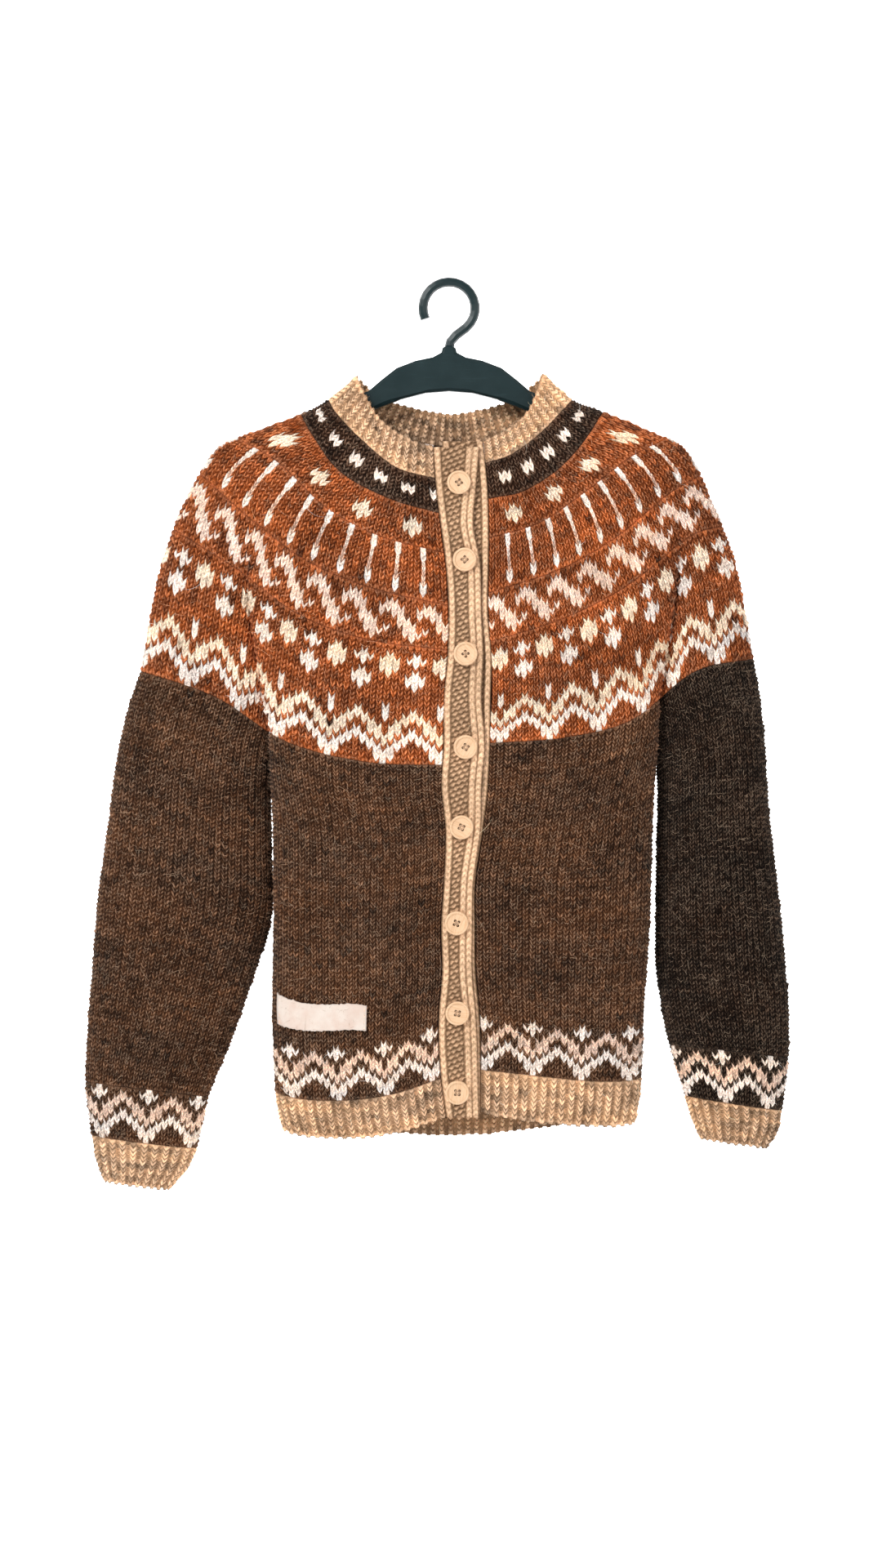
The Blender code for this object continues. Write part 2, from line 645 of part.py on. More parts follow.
def wall_object(name, outer, inner, closed, material, collection):
    """A closed solid between an outer and an inner grid, rows running upwards."""
    rows, columns = outer.shape[:2]
    vertices = np.concatenate([outer.reshape(-1, 3), inner.reshape(-1, 3)]) * MM
    inside = rows * columns
    faces = []

    def corner(row, column, offset):
        return offset + row * columns + column % columns

    for row in range(rows - 1):
        for column in range(columns if closed else columns - 1):
            outside = [corner(row, column, 0), corner(row + 1, column, 0),
                       corner(row + 1, column + 1, 0), corner(row, column + 1, 0)]
            faces.append(outside)
            faces.append([index + inside for index in reversed(outside)])
    for column in range(columns if closed else columns - 1):
        for row, turned in ((0, False), (rows - 1, True)):
            near, far = corner(row, column, 0), corner(row, column + 1, 0)
            seam = [[near, far, far + inside], [near, far + inside, near + inside]]
            faces.extend([face[::-1] if turned else face for face in seam])
    if not closed:
        for row in range(rows - 1):
            first = [corner(row + 1, 0, 0), corner(row, 0, 0)]
            last = [corner(row, columns - 1, 0), corner(row + 1, columns - 1, 0)]
            faces.append(first + [index + inside for index in reversed(first)])
            faces.append(last + [index + inside for index in reversed(last)])
    return mesh_object(name, vertices, faces, material, collection)


def mesh_object(name, vertices, faces, material, collection):
    """An object from points and faces, shaded smooth but for its sharp edges."""
    mesh = bpy.data.meshes.new(name)
    mesh.from_pydata([tuple(point) for point in vertices], [], faces)
    mesh.materials.append(material)
    mesh.shade_smooth()
    mesh.set_sharp_from_angle(angle=math.radians(50.0))
    item = bpy.data.objects.new(name, mesh)
    collection.objects.link(item)
    return item


def panel(name, rings, normals, columns, trims, closed, material, collection, raised=None):
    """A knitted wall from some columns of a grid of rings."""
    outer = rings[:, columns]
    inward = normals[:, columns]
    inner = outer - inward * WALL
    if raised is not None:
        outer = outer + inward * raised[:, columns, None]
    low, top, start, end = trims
    walls = []
    for grid in (outer, inner):
        grid = trim(grid, 0, low, top)
        grid = grid if closed else trim(grid, 1, start, end)
        walls.append(grid)
    return wall_object(name, walls[0], walls[1], closed, material, collection)


# ================================================================ the knitted pieces
def edge_of(grid, side):
    """The band edge's outer points of a grid, and their rows running upwards."""
    return grid[:, 0] if side == "right" else grid[:, -1]


def build_yoke(material, collection):
    """The yoke in three panels that meet along the shoulder lines."""
    rows = list(np.linspace(0.0, YOKE_TOP_ROW, YOKE_ROWS + 1)) + [YOKE_TOP_ROW + SEAM_LEAD]
    rings = np.array([yoke_ring(row, even(BODY_COLUMNS), even(SLEEVE_COLUMNS)) for row in rows])
    normals = normals_of(rings, False, level=(0,))[:-1]
    rings = rings[:-1]
    half = BODY_COLUMNS + SLEEVE_COLUMNS
    spans = {
        "yoke_right_front": (slice(0, half + 1), (True, True, True, True)),
        "yoke_back": (slice(half, 3 * half + 1), (True, True, True, True)),
        "yoke_left_front": (slice(3 * half, 4 * half + 1), (True, True, True, True)),
    }
    for name, (columns, trims) in spans.items():
        panel(name, rings, normals, columns, trims, False, material, collection)
    return rings


def build_body(material, collection):
    """The body in three panels that meet along the side lines."""
    downs = np.linspace(1.0, 0.0, BODY_ROWS + 1)
    rings = np.array([body_ring(down, even(BODY_COLUMNS), UNDERARM_COLUMNS) for down in downs])
    normals = normals_of(rings, False, level=(0, -1))
    share_with_body(normals)
    half = BODY_COLUMNS + UNDERARM_COLUMNS
    spans = {
        "body_right_front": slice(0, half + 1),
        "body_back": slice(half, 3 * half + 1),
        "body_left_front": slice(3 * half, 4 * half + 1),
    }
    for name, columns in spans.items():
        trims = (True, True, True, True)
        panel(name, rings, normals, columns, trims, False, material, collection)
    return rings, normals


def rib_heights(rings, first=True):
    """Raise every second column of a grid whose steps are half a rib."""
    wave = np.zeros(rings.shape[:2])
    wave[:, (0 if first else 1)::2] = RIB_HEIGHT
    return wave


def rib_count(length):
    """An even number of half ribs that fill a length."""
    return 2 * max(1, round(length / RIB_PITCH))


def build_welt(material, collection):
    """The ribbed welt in three panels that meet along the side lines."""
    counts = {}
    for side in SIDE_OF:
        for back in (False, True):
            length = arc_lengths(welt_quarter(side, back, 0.5, 40))[-1]
            counts[side, back] = rib_count(length)
    downs = np.linspace(1.0, 0.0, RIB_ROWS + 1)
    rings = np.array([welt_ring(down, counts) for down in downs])
    normals = normals_of(rings, False, level=(-1,))
    raised = rib_heights(rings, first=False)
    ends = np.cumsum([0, counts["right", False], counts["right", True] + counts["left", True],
                      counts["left", False]])
    names = ["welt_right_front", "welt_back", "welt_left_front"]
    for name, low, high in zip(names, ends[:-1], ends[1:]):
        columns = slice(int(low), int(high) + 1)
        trims = (False, True, True, True)
        panel(name, rings, normals, columns, trims, False, material, collection, raised)
    return rings


def build_neckband(material, collection):
    """The ribbed neckband, in two halves that meet at the centre of the back."""
    def ring(row, front_count, back_count):
        parts = {}
        for side in SIDE_OF:
            for back in (False, True):
                count = back_count if back else front_count
                points, _ = half_ring(side, row, back)
                parts[side, back] = spaced(points, even(count))
        return np.concatenate([
            parts["right", False], parts["right", True][::-1][1:],
            parts["left", True][1:], parts["left", False][::-1][1:],
        ])

    middle_row = 0.5 * (YOKE_TOP_ROW + NECKBAND_TOP_ROW)
    front_count = rib_count(arc_lengths(half_ring("right", middle_row)[0])[-1])
    back_count = rib_count(arc_lengths(half_ring("right", middle_row, True)[0])[-1])
    rows = [YOKE_TOP_ROW - SEAM_LEAD] + list(np.linspace(YOKE_TOP_ROW, NECKBAND_TOP_ROW, RIB_ROWS + 1))
    rings = np.array([ring(row, front_count, back_count) for row in rows])
    normals = normals_of(rings, False)[1:]
    rings = rings[1:]
    raised = rib_heights(rings, first=False)
    half = front_count + back_count
    for name, columns in (("neckband_right", slice(0, half + 1)),
                          ("neckband_left", slice(half, 2 * half + 1))):
        trims = (True, False, True, True)
        panel(name, rings, normals, columns, trims, False, material, collection, raised)
    return rings


def build_sleeves(material, collection):
    """Each sleeve is a tube from the underarm to the cuff."""
    for side, direction in SIDE_OF.items():
        downs = np.linspace(1.0, 0.0, SLEEVE_ROWS + 1)
        rings = np.array([
            sleeve_ring(side, down, even(SLEEVE_COLUMNS), UNDERARM_COLUMNS)[:-1]
            for down in downs
        ])
        if direction > 0:
            rings = rings[:, ::-1]
        normals = normals_of(rings, True, level=(0, -1))
        share_with_sleeve(normals, side)
        trims = (True, True, False, False)
        panel(f"sleeve_{side}", rings, normals, slice(None), trims, True, material, collection)


def build_cuffs(material, collection):
    """Each cuff is a ribbed tube that narrows to the wrist."""
    for side, direction in SIDE_OF.items():
        table_rows = RIGHT_CUFF if side == "right" else LEFT_CUFF
        length = arc_lengths(sleeve_section(table_rows, 0.5, None))[-1]
        count = rib_count(length)
        downs = np.linspace(1.0, 0.0, RIB_ROWS + 1)
        rings = np.array([sleeve_section(table_rows, down, count)[:-1] for down in downs])
        if direction > 0:
            rings = rings[:, ::-1]
        normals = normals_of(rings, True, level=(-1,))
        raised = rib_heights(rings)
        trims = (False, True, False, False)
        panel(f"cuff_{side}", rings, normals, slice(None), trims, True, material, collection, raised)


# ================================================================ the bands
def build_bands(edges, material, collection):
    """The two button bands, knitted on to the band edges of the fronts."""
    shares = np.array([share for share, _ in BAND_PROFILE])
    relief = np.array([height for _, height in BAND_PROFILE]) * BAND_RELIEF
    gap = SEAM_GAP / 2
    for name, side in (("band_buttonholes", "right"), ("band_buttons", "left")):
        upper = side == "right"
        outer = []
        inner = []
        for x, _, z in edges[side]:
            base = -float(front_depth(z))
            if upper:
                start, end = x + gap, float(table(BANDS, z, 2))
            else:
                start, end = float(band_edge("right", z)) + UNDERLAP_START, x - gap
            across = start + (end - start) * shares
            lift = BAND_LIFT * smoothstep((across - start) / LIFT_WIDTH) if upper else 0.0 * across
            heights = np.full(len(shares), z)
            outer.append(np.stack([across, base - lift - relief, heights], axis=1))
            inner.append(np.stack([across, base - lift + WALL, heights], axis=1))
        outer = np.array(outer)[:, ::-1]
        inner = np.array(inner)[:, ::-1]
        wall_object(name, outer, inner, False, material, collection)


def band_face(edge, z):
    """The outer face of the upper band along its middle, at some heights."""
    rows = np.array([point[2] for point in edge])
    faces = -front_depth(rows) - BAND_LIFT - 0.25 * BAND_RELIEF
    return np.interp(z, rows, faces)


# ================================================================ buttons
def build_buttons(edge, material, collection, cutters):
    """Eight turned wooden buttons with a raised rim and four holes."""
    half = BUTTON_THICKNESS / 2
    profile = [
        (0.0, half - BUTTON_DISH),
        (BUTTON_RADIUS - BUTTON_RIM, half - BUTTON_DISH),
        (BUTTON_RADIUS - BUTTON_RIM * 0.6, half),
        (BUTTON_RADIUS - 0.6, half),
        (BUTTON_RADIUS, half - 0.8),
        (BUTTON_RADIUS, -half + 0.8),
        (BUTTON_RADIUS - 1.2, -half),
        (0.0, -half),
    ]
    mesh = turned_mesh("button", profile, BUTTON_SIDES)
    cutter = hole_cutter(cutters)
    body = bpy.data.objects.new("button_blank", mesh)
    collection.objects.link(body)
    cut = body.modifiers.new("holes", "BOOLEAN")
    cut.operation = "DIFFERENCE"
    cut.object = cutter
    bpy.context.view_layer.update()
    evaluated = body.evaluated_get(bpy.context.evaluated_depsgraph_get())
    pierced = bpy.data.meshes.new_from_object(evaluated)
    bpy.data.objects.remove(body, do_unlink=True)
    pierced.materials.clear()
    pierced.materials.append(material)
    pierced.shade_smooth()
    pierced.set_sharp_from_angle(angle=math.radians(35.0))
    reach = np.linspace(-BUTTON_RADIUS, BUTTON_RADIUS, 21)
    for number, (x, z) in enumerate(BUTTONS, start=1):
        faces = band_face(edge, z + reach)
        slope = (faces[-1] - faces[0]) / (2 * BUTTON_RADIUS)
        seat = np.min(faces - slope * reach) - BUTTON_SEAT
        tilt = math.atan(slope)
        lift = half / math.cos(tilt)
        item = bpy.data.objects.new(f"button_{number}", pierced)
        item.location = (x * MM, (seat - lift) * MM, z * MM)
        item.rotation_euler = (math.pi / 2 - tilt, 0.0, 0.0)
        collection.objects.link(item)


def turned_mesh(name, profile, sides):
    """Turn a profile (radius, height) round +Z into a closed mesh."""
    mesh = bpy.data.meshes.new(name)
    points = [(radius * MM, 0.0, height * MM) for radius, height in profile]
    mesh.from_pydata(points, [(index, index + 1) for index in range(len(points) - 1)], [])
    item = bpy.data.objects.new(name + "_profile", mesh)
    bpy.context.scene.collection.objects.link(item)
    screw = item.modifiers.new("turn", "SCREW")
    screw.steps = sides
    screw.render_steps = sides
    screw.use_merge_vertices = True
    screw.merge_threshold = 0.00001
    bpy.context.view_layer.update()
    evaluated = item.evaluated_get(bpy.context.evaluated_depsgraph_get())
    turned = bpy.data.meshes.new_from_object(evaluated)
    bpy.data.objects.remove(item, do_unlink=True)
    return turned


def hole_cutter(cutters):
    """Four pins that cut a button's thread holes."""
    mesh = bpy.data.meshes.new("button_hole_pins")
    shape = bmesh.new()
    for across in (-0.5, 0.5):
        for along in (-0.5, 0.5):
            pin = bmesh.ops.create_cone(
                shape, cap_ends=True, segments=4, radius1=BUTTON_HOLE_RADIUS * MM,
                radius2=BUTTON_HOLE_RADIUS * MM, depth=2.5 * BUTTON_THICKNESS * MM,
            )
            offset = (across * BUTTON_HOLE_PITCH * MM, along * BUTTON_HOLE_PITCH * MM, 0.0)
            bmesh.ops.translate(shape, verts=pin["verts"], vec=offset)
    shape.to_mesh(mesh)
    shape.free()
    cutter = bpy.data.objects.new("button_hole_pins", mesh)
    cutter.hide_render = True
    cutter.display_type = "WIRE"
    cutters.objects.link(cutter)
    return cutter


# ================================================================ the label
def build_label(rings, normals, material, collection):
    """A bare tape label, made from the right front's points moved out."""
    half = BODY_COLUMNS + UNDERARM_COLUMNS
    grid = rings[::-1, :half + 1]
    outward = normals[::-1, :half + 1]
    corners = np.array(LABEL_CORNERS)
    ends = [place_on_grid(grid, *(0.5 * (corners[first] + corners[second])))[0]
            for first, second in ((1, 2), (0, 3))]
    ends = [round(end) if abs(end - round(end)) < 0.2 else end for end in ends]
    inside = np.arange(math.floor(ends[0]) + 1, math.ceil(ends[1]))
    columns = np.concatenate([[ends[0]], inside, [ends[1]]])
    inner = []
    outer = []
    for share in even(LABEL_ROWS):
        inner_row = []
        outer_row = []
        for column in columns:
            x = grid_value(grid, column, 6.0)[0]
            across = (x - corners[0][0]) / (corners[1][0] - corners[0][0])
            upper = corners[0][1] + (corners[1][1] - corners[0][1]) * across
            lower = corners[3][1] + (corners[2][1] - corners[3][1]) * across
            row = row_at_height(grid, column, lower + (upper - lower) * share)
            point = grid_value(grid, column, row)
            normal = grid_value(outward, column, row)
            inner_row.append(point + normal * LABEL_GAP)
            outer_row.append(point + normal * (LABEL_GAP + LABEL_THICKNESS))
        inner.append(inner_row)
        outer.append(outer_row)
    wall_object("label", np.array(outer), np.array(inner), False, material, collection)


def grid_value(grid, column, row):
    """A grid's value at a column and row that need not be whole."""
    left = min(int(column), grid.shape[1] - 2)
    low = min(int(row), grid.shape[0] - 2)
    near = grid[low, left] + (grid[low + 1, left] - grid[low, left]) * (row - low)
    far = grid[low, left + 1] + (grid[low + 1, left + 1] - grid[low, left + 1]) * (row - low)
    return near + (far - near) * (column - left)


def row_at_height(grid, column, z):
    """The row of a grid where one of its columns reaches a height."""
    rows = np.linspace(0.0, grid.shape[0] - 1.0, 400)
    heights = np.array([grid_value(grid, column, row)[2] for row in rows])
    return float(np.interp(-z, -heights, rows))


def place_on_grid(grid, x, z):
    """The column and row of the point that lies at x and z as seen from the front."""
    columns = np.linspace(0.0, grid.shape[1] - 1.0, 200)
    rows = [row_at_height(grid, column, z) for column in columns]
    across = np.array([grid_value(grid, column, row)[0] for column, row in zip(columns, rows)])
    column = float(columns[np.argmin(np.abs(across - x))])
    return column, row_at_height(grid, column, z)


# ================================================================ the hanger
def shoulder_line(side):
    """The outer shoulder line of the yoke, from the neckband to the arm's tip."""
    line = []
    yoke_rows = np.linspace(0.0, YOKE_TOP_ROW, YOKE_ROWS + 1)
    for row in yoke_rows[yoke_rows > ARM_TIP_ROW][::-1]:
        points, _ = half_ring(side, row)
        line.append(points[-1])
    return np.array(line)[:, [0, 2]]


def arm_top(side):
    """The arm's upper edge: the shoulder line moved in by the cloth and its clearance."""
    line = shoulder_line(side)
    step = np.gradient(line, axis=0)
    normal = np.stack([-step[:, 1], step[:, 0]], axis=1) * -SIDE_OF[side]
    normal = normal / np.linalg.norm(normal, axis=1, keepdims=True)
    return line + normal * (WALL + HANGER_REST_GAP)


def build_hanger(material, collection):
    """A flat moulded hanger with its hook in one piece."""
    outline = []
    for side, direction in (("left", 1.0), ("right", -1.0)):
        neck = [(x * direction, z) for x, z in HANGER_NECK]
        top = [tuple(point) for point in arm_top(side)]
        tip = np.array(top[-1])
        heel = tip + np.array([-5.0 * direction, -ARM_HEIGHT + 4.0])
        toe = tip + np.array([1.5 * direction, -7.0])
        bottom = [(x, z - ARM_HEIGHT) for x, z in top[-3::-2]]
        arch = [(x * direction, z) for x, z in reversed(HANGER_ARCH)]
        half = neck + top + [tuple(toe), tuple(heel)] + bottom + arch
        outline.append(half)
    points = outline[0] + [point for point in reversed(outline[1][:-1])]
    curve = bpy.data.curves.new("hanger_outline", "CURVE")
    curve.dimensions = "2D"
    curve.fill_mode = "BOTH"
    curve.extrude = (HANGER_THICKNESS / 2) * MM
    spline = curve.splines.new("POLY")
    spline.points.add(len(points) - 1)
    for target, (x, z) in zip(spline.points, points):
        target.co = (x * MM, z * MM, 0.0, 1.0)
    spline.use_cyclic_u = True
    board = mesh_from_curve("hanger_board", curve, collection)
    board.rotation_euler = (math.pi / 2, 0.0, 0.0)
    bevel = board.modifiers.new("round", "BEVEL")
    bevel.width = HANGER_EDGE * MM
    bevel.segments = 1
    bevel.limit_method = "ANGLE"
    bevel.angle_limit = math.radians(60.0)
    hook = build_hook(collection)
    union = board.modifiers.new("hook", "BOOLEAN")
    union.operation = "UNION"
    union.object = hook
    bpy.context.view_layer.update()
    evaluated = board.evaluated_get(bpy.context.evaluated_depsgraph_get())
    mesh = bpy.data.meshes.new_from_object(evaluated)
    mesh.transform(board.matrix_world)
    for item in (board, hook):
        bpy.data.objects.remove(item, do_unlink=True)
    mesh.materials.clear()
    mesh.materials.append(material)
    mesh.shade_smooth()
    mesh.set_sharp_from_angle(angle=math.radians(40.0))
    mesh.name = "hanger"
    hanger = bpy.data.objects.new("hanger", mesh)
    collection.objects.link(hanger)


def build_hook(collection):
    """The hook: a stem that swings out and round over the rail."""
    centre_z = -HOOK_RADIUS + HOOK_WIRE
    stem = [(0.0, -60.0), (0.0, -52.0), (1.2, -46.5), (6.0, -41.0)]
    start = -50.0
    steps = 18
    arc = []
    for step in range(steps + 1):
        angle = math.radians(start + (HOOK_END_ANGLE - start) * step / steps)
        arc.append((HOOK_RADIUS * math.cos(angle), centre_z + HOOK_RADIUS * math.sin(angle)))
    points = stem + arc
    curve = bpy.data.curves.new("hanger_hook", "CURVE")
    curve.dimensions = "3D"
    curve.bevel_depth = HOOK_WIRE * MM
    curve.bevel_resolution = 2
    curve.use_fill_caps = True
    spline = curve.splines.new("POLY")
    spline.points.add(len(points) - 1)
    for target, (x, z) in zip(spline.points, points):
        target.co = (x * MM, 0.0, z * MM, 1.0)
    return mesh_from_curve("hanger_hook", curve, collection)


def mesh_from_curve(name, curve, collection):
    """Turn a curve into a mesh object with welded caps."""
    item = bpy.data.objects.new(name + "_curve", curve)
    collection.objects.link(item)
    bpy.context.view_layer.update()
    evaluated = item.evaluated_get(bpy.context.evaluated_depsgraph_get())
    mesh = bpy.data.meshes.new_from_object(evaluated)
    shape = bmesh.new()
    shape.from_mesh(mesh)
    bmesh.ops.remove_doubles(shape, verts=shape.verts, dist=0.00001)
    bmesh.ops.recalc_face_normals(shape, faces=shape.faces)
    shape.to_mesh(mesh)
    shape.free()
    matrix = item.matrix_world.copy()
    bpy.data.objects.remove(item, do_unlink=True)
    solid = bpy.data.objects.new(name, mesh)
    solid.matrix_world = matrix
    collection.objects.link(solid)
    return solid


def band_stations(side, neckband, yoke, body, welt):
    """The band edge of one front from the hem to the neck, one point for each row."""
    grids = [welt, body, yoke, neckband]
    points = []
    for number, grid in enumerate(grids):
        edge = edge_of(grid, side)
        points.extend(edge if number == 0 else edge[1:])
    return points


def main():
    """Build the cardigan and its hanger."""
    clear_scene()
    cardigan = new_collection("wool_cardigan")
    cutters = new_collection("cutters")
    brown = make_material("brown_wool", BROWN_WOOL, 0.95)
    rust = make_material("rust_wool", RUST_WOOL, 0.95)
    tan = make_material("tan_wool", TAN_WOOL, 0.95)
    wood = make_material("light_wood", LIGHT_WOOD, 0.5)
    tape = make_material("label_tape", LABEL_TAPE, 0.8)
    plastic = make_material("hanger_plastic", HANGER_PLASTIC, 0.3)

    yoke = build_yoke(rust, cardigan)
    body, body_normals = build_body(brown, cardigan)
    welt = build_welt(tan, cardigan)
    neckband = build_neckband(tan, cardigan)
    build_sleeves(brown, cardigan)
    build_cuffs(tan, cardigan)
    edges = {side: band_stations(side, neckband, yoke, body, welt) for side in SIDE_OF}
    build_bands(edges, tan, cardigan)
    build_buttons(edges["right"], wood, cardigan, cutters)
    build_label(body, body_normals, tape, cardigan)
    build_hanger(plastic, cardigan)


if __name__ == "__main__":
    main()
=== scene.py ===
"""The looks of a hand-knit wool cardigan with a round yoke on a moulded hanger.

Every stitch is modelled: each piece of cloth is a wall whose outside has the two legs of
every knit stitch, coloured stitch by stitch from small charts. Sizes are in millimetres
unless a name says otherwise; +Z is up and the front faces -Y. "Right" and "left" are the
wearer's: the right side lies at -X.
"""
import json
import math

import bmesh
import bpy
import numpy as np
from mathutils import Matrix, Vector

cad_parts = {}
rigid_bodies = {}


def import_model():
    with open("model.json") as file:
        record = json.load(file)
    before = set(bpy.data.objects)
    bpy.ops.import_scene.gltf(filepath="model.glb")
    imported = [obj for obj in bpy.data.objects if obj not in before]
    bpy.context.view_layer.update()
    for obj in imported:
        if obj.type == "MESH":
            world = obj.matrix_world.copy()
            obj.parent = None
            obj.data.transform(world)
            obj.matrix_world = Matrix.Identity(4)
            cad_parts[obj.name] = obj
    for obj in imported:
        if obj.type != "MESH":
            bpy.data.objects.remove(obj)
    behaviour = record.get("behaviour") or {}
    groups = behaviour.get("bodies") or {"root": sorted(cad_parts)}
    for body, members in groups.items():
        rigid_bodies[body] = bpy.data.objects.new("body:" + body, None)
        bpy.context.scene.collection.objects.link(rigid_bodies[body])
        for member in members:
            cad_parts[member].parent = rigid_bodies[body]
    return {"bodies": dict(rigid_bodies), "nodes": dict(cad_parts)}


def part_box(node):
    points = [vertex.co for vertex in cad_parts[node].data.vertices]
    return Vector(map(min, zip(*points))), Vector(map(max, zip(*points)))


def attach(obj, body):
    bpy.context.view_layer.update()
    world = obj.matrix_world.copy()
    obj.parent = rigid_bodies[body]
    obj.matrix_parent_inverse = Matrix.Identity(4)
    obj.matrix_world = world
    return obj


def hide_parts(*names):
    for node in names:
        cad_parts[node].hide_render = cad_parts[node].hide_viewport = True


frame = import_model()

bl_info = {
    "name": "Wool cardigan on a hanger",
    "version": (1, 0, 0),
    "blender": (4, 5, 0),
    "location": "3D View > Sidebar > Cardigan",
    "description": "Knits a round-yoke wool cardigan stitch by stitch on its hanger",
    "category": "Object",
}

MM = 0.001
ROOT = "root" if "root" in frame["bodies"] else sorted(frame["bodies"])[0]
COLUMN = {"right": 1, "left": 2}     # a side's column in the tables
QUARTERS = (("right", False), ("right", True), ("left", True), ("left", False))  # side, back
DENSE = 240                  # points of the smooth curve that each ring is read from
DENSE_QUARTER = 72           # points of the line that a quarter's stitches are read from
DENSE_LINES = 141            # lines that a tube's rows are read from
UNDERARM_STEPS = 24
WELT_STEPS = 80

# ---------------------------------------------------------------- the yoke's rings
# Height is counted in knitted rows from the join of body and sleeves. A ring has five
# stations from the band edge to the shoulder line.
STATIONS = [0.0, 0.25, 0.5, 0.75, 1.0]
YOKE_TOP_ROW = 62.0
NECKBAND_TOP_ROW = 69.0
# row, z at the band edge, then x and z at the four stations beyond it
RINGS = {
    "right": [
        (0.0, -403.9, -69.4, -401.2, -136.0, -384.2, -195.8, -346.8, -259.8, -324.4),
        (19.0, -328.4, -66.6, -323.0, -121.7, -305.3, -181.6, -264.5, -241.4, -232.6),
        (30.0, -290.4, -67.3, -278.8, -126.5, -255.0, -177.5, -216.2, -223.0, -182.9),
        (40.5, -248.2, -61.2, -231.2, -110.2, -208.8, -153.7, -174.8, -193.8, -136.0),
        (49.0, -214.2, -57.1, -201.3, -99.3, -176.8, -133.3, -140.8, -164.6, -123.1),
        (54.0, -193.1, -50.3, -180.9, -90.4, -159.1, -112.9, -129.9, -125.1, -108.1),
        (62.0, -163.9, -44.9, -154.4, -76.2, -128.5, -94.5, -108.8, -102.0, -95.9),
        (69.0, -137.4, -36.0, -129.2, -57.1, -114.2, -69.9, -93.8, -78.0, -75.8),
    ],
    "left": [
        (0.0, -385.6, 97.2, -380.8, 153.0, -365.8, 205.4, -325.7, 256.4, -314.2),
        (19.0, -323.0, 92.5, -306.0, 144.8, -283.6, 201.3, -241.4, 238.7, -225.8),
        (30.0, -281.5, 95.9, -261.1, 149.6, -230.5, 195.8, -192.4, 221.7, -182.9),
        (40.5, -236.0, 83.6, -219.6, 124.4, -196.5, 165.9, -163.2, 198.6, -137.4),
        (49.0, -202.0, 71.4, -191.1, 104.0, -168.0, 140.8, -138.7, 170.0, -123.1),
        (54.0, -180.9, 61.9, -174.8, 91.1, -156.4, 112.9, -132.6, 129.9, -106.1),
        (62.0, -151.0, 52.4, -143.5, 76.2, -125.8, 94.5, -106.8, 104.0, -95.9),
        (69.0, -132.6, 47.6, -123.1, 64.6, -108.8, 73.4, -89.8, 79.4, -74.4),
    ],
}
BACK_RINGS = [               # row, height of the ring at the centre of the back
    (0.0, -383.0), (19.0, -308.0), (30.0, -267.0), (40.5, -223.0),
    (49.0, -186.5), (54.0, -165.0), (62.0, -132.5), (69.0, -105.5),
]
CENTRE_BACK_X = 3.0
CREASES = [                  # row, station of the crease right and left, share of the full crease
    (0.0, 0.56, 0.61, 1.0), (19.0, 0.69, 0.70, 0.8), (30.0, 0.70, 0.71, 0.25),
    (40.5, 0.71, 0.71, 0.0), (69.0, 0.71, 0.71, 0.0),
]
CREASE_DEPTH = 11.0          # how far the bottom of the crease stays from the middle
SLEEVE_HEAD_DEPTH = 15.0     # extra depth of the sleeve between crease and outline
SHOULDER_ROUND = 3.0         # exponents of the plain yoke's profile, of the body's beside
BODY_ROUND = 4.0             # the crease, and of the sleeve head's
SLEEVE_ROUND = 2.2
DEPTHS = [                   # z, depth of the front and of the back from the middle plane
    (-78.0, 19.0, 19.0), (-137.0, 26.0, 24.0), (-200.0, 29.0, 30.0), (-245.0, 32.0, 34.0),
    (-325.0, 40.0, 41.0), (-400.0, 43.0, 45.0), (-500.0, 43.0, 46.0), (-600.0, 42.0, 45.0),
    (-670.0, 40.0, 43.0), (-715.0, 37.0, 41.0),
]

# ---------------------------------------------------------------- the button bands
BANDS = [                    # z, band edges of the right and left front, upper band's free edge
    (-132.0, -14.0, 28.5, 26.0), (-175.0, -10.9, 32.6, 22.4), (-202.0, -7.5, 33.3, 20.4),
    (-233.0, -3.4, 33.3, 25.8), (-277.0, -0.7, 32.6, 27.2), (-311.0, -1.4, 35.4, 28.6),
    (-350.0, -4.8, 34.7, 27.2), (-389.0, -4.8, 34.0, 29.9), (-420.0, -6.8, 32.6, 27.2),
    (-456.0, -3.4, 28.6, 26.5), (-503.0, -4.8, 21.8, 20.4), (-535.0, -6.8, 21.8, 19.7),
    (-579.0, -6.1, 22.4, 19.7), (-610.0, -8.8, 25.2, 22.4), (-666.0, -6.8, 26.5, 24.5),
    (-697.0, -2.7, 26.5, 25.2),
]
FREE_EDGE = 3                # the last column of that table
BAND_LIFT = 4.4              # how far the upper band lies over the lower one
LIFT_WIDTH = 7.0             # width over which it rises from the right front's edge
UNDERLAP_START = 8.0         # the lower band's hidden edge, from the right front's edge
BAND_POINTS = 31
BAND_STEP = 1.0
BAND_SEAM = 0.2              # between a band and its front
BAND_RELIEF = 1.25           # height of a band's chains and ridges
RIDGE_PITCH = 4.2            # height of one garter ridge
RIDGE_SLOPE = 0.42
RIDGE_WAVE = 4.9             # width of one stitch along a ridge
CHAIN_PITCH = 5.6            # height of one link of an edge chain
CHAIN_REACH = 3.0            # middle of the outermost chain, from the edge
CHAIN_APART = 5.4            # from the middle of one chain to the next
BAND_TONE = 0.74             # how dark the bands' yarn is

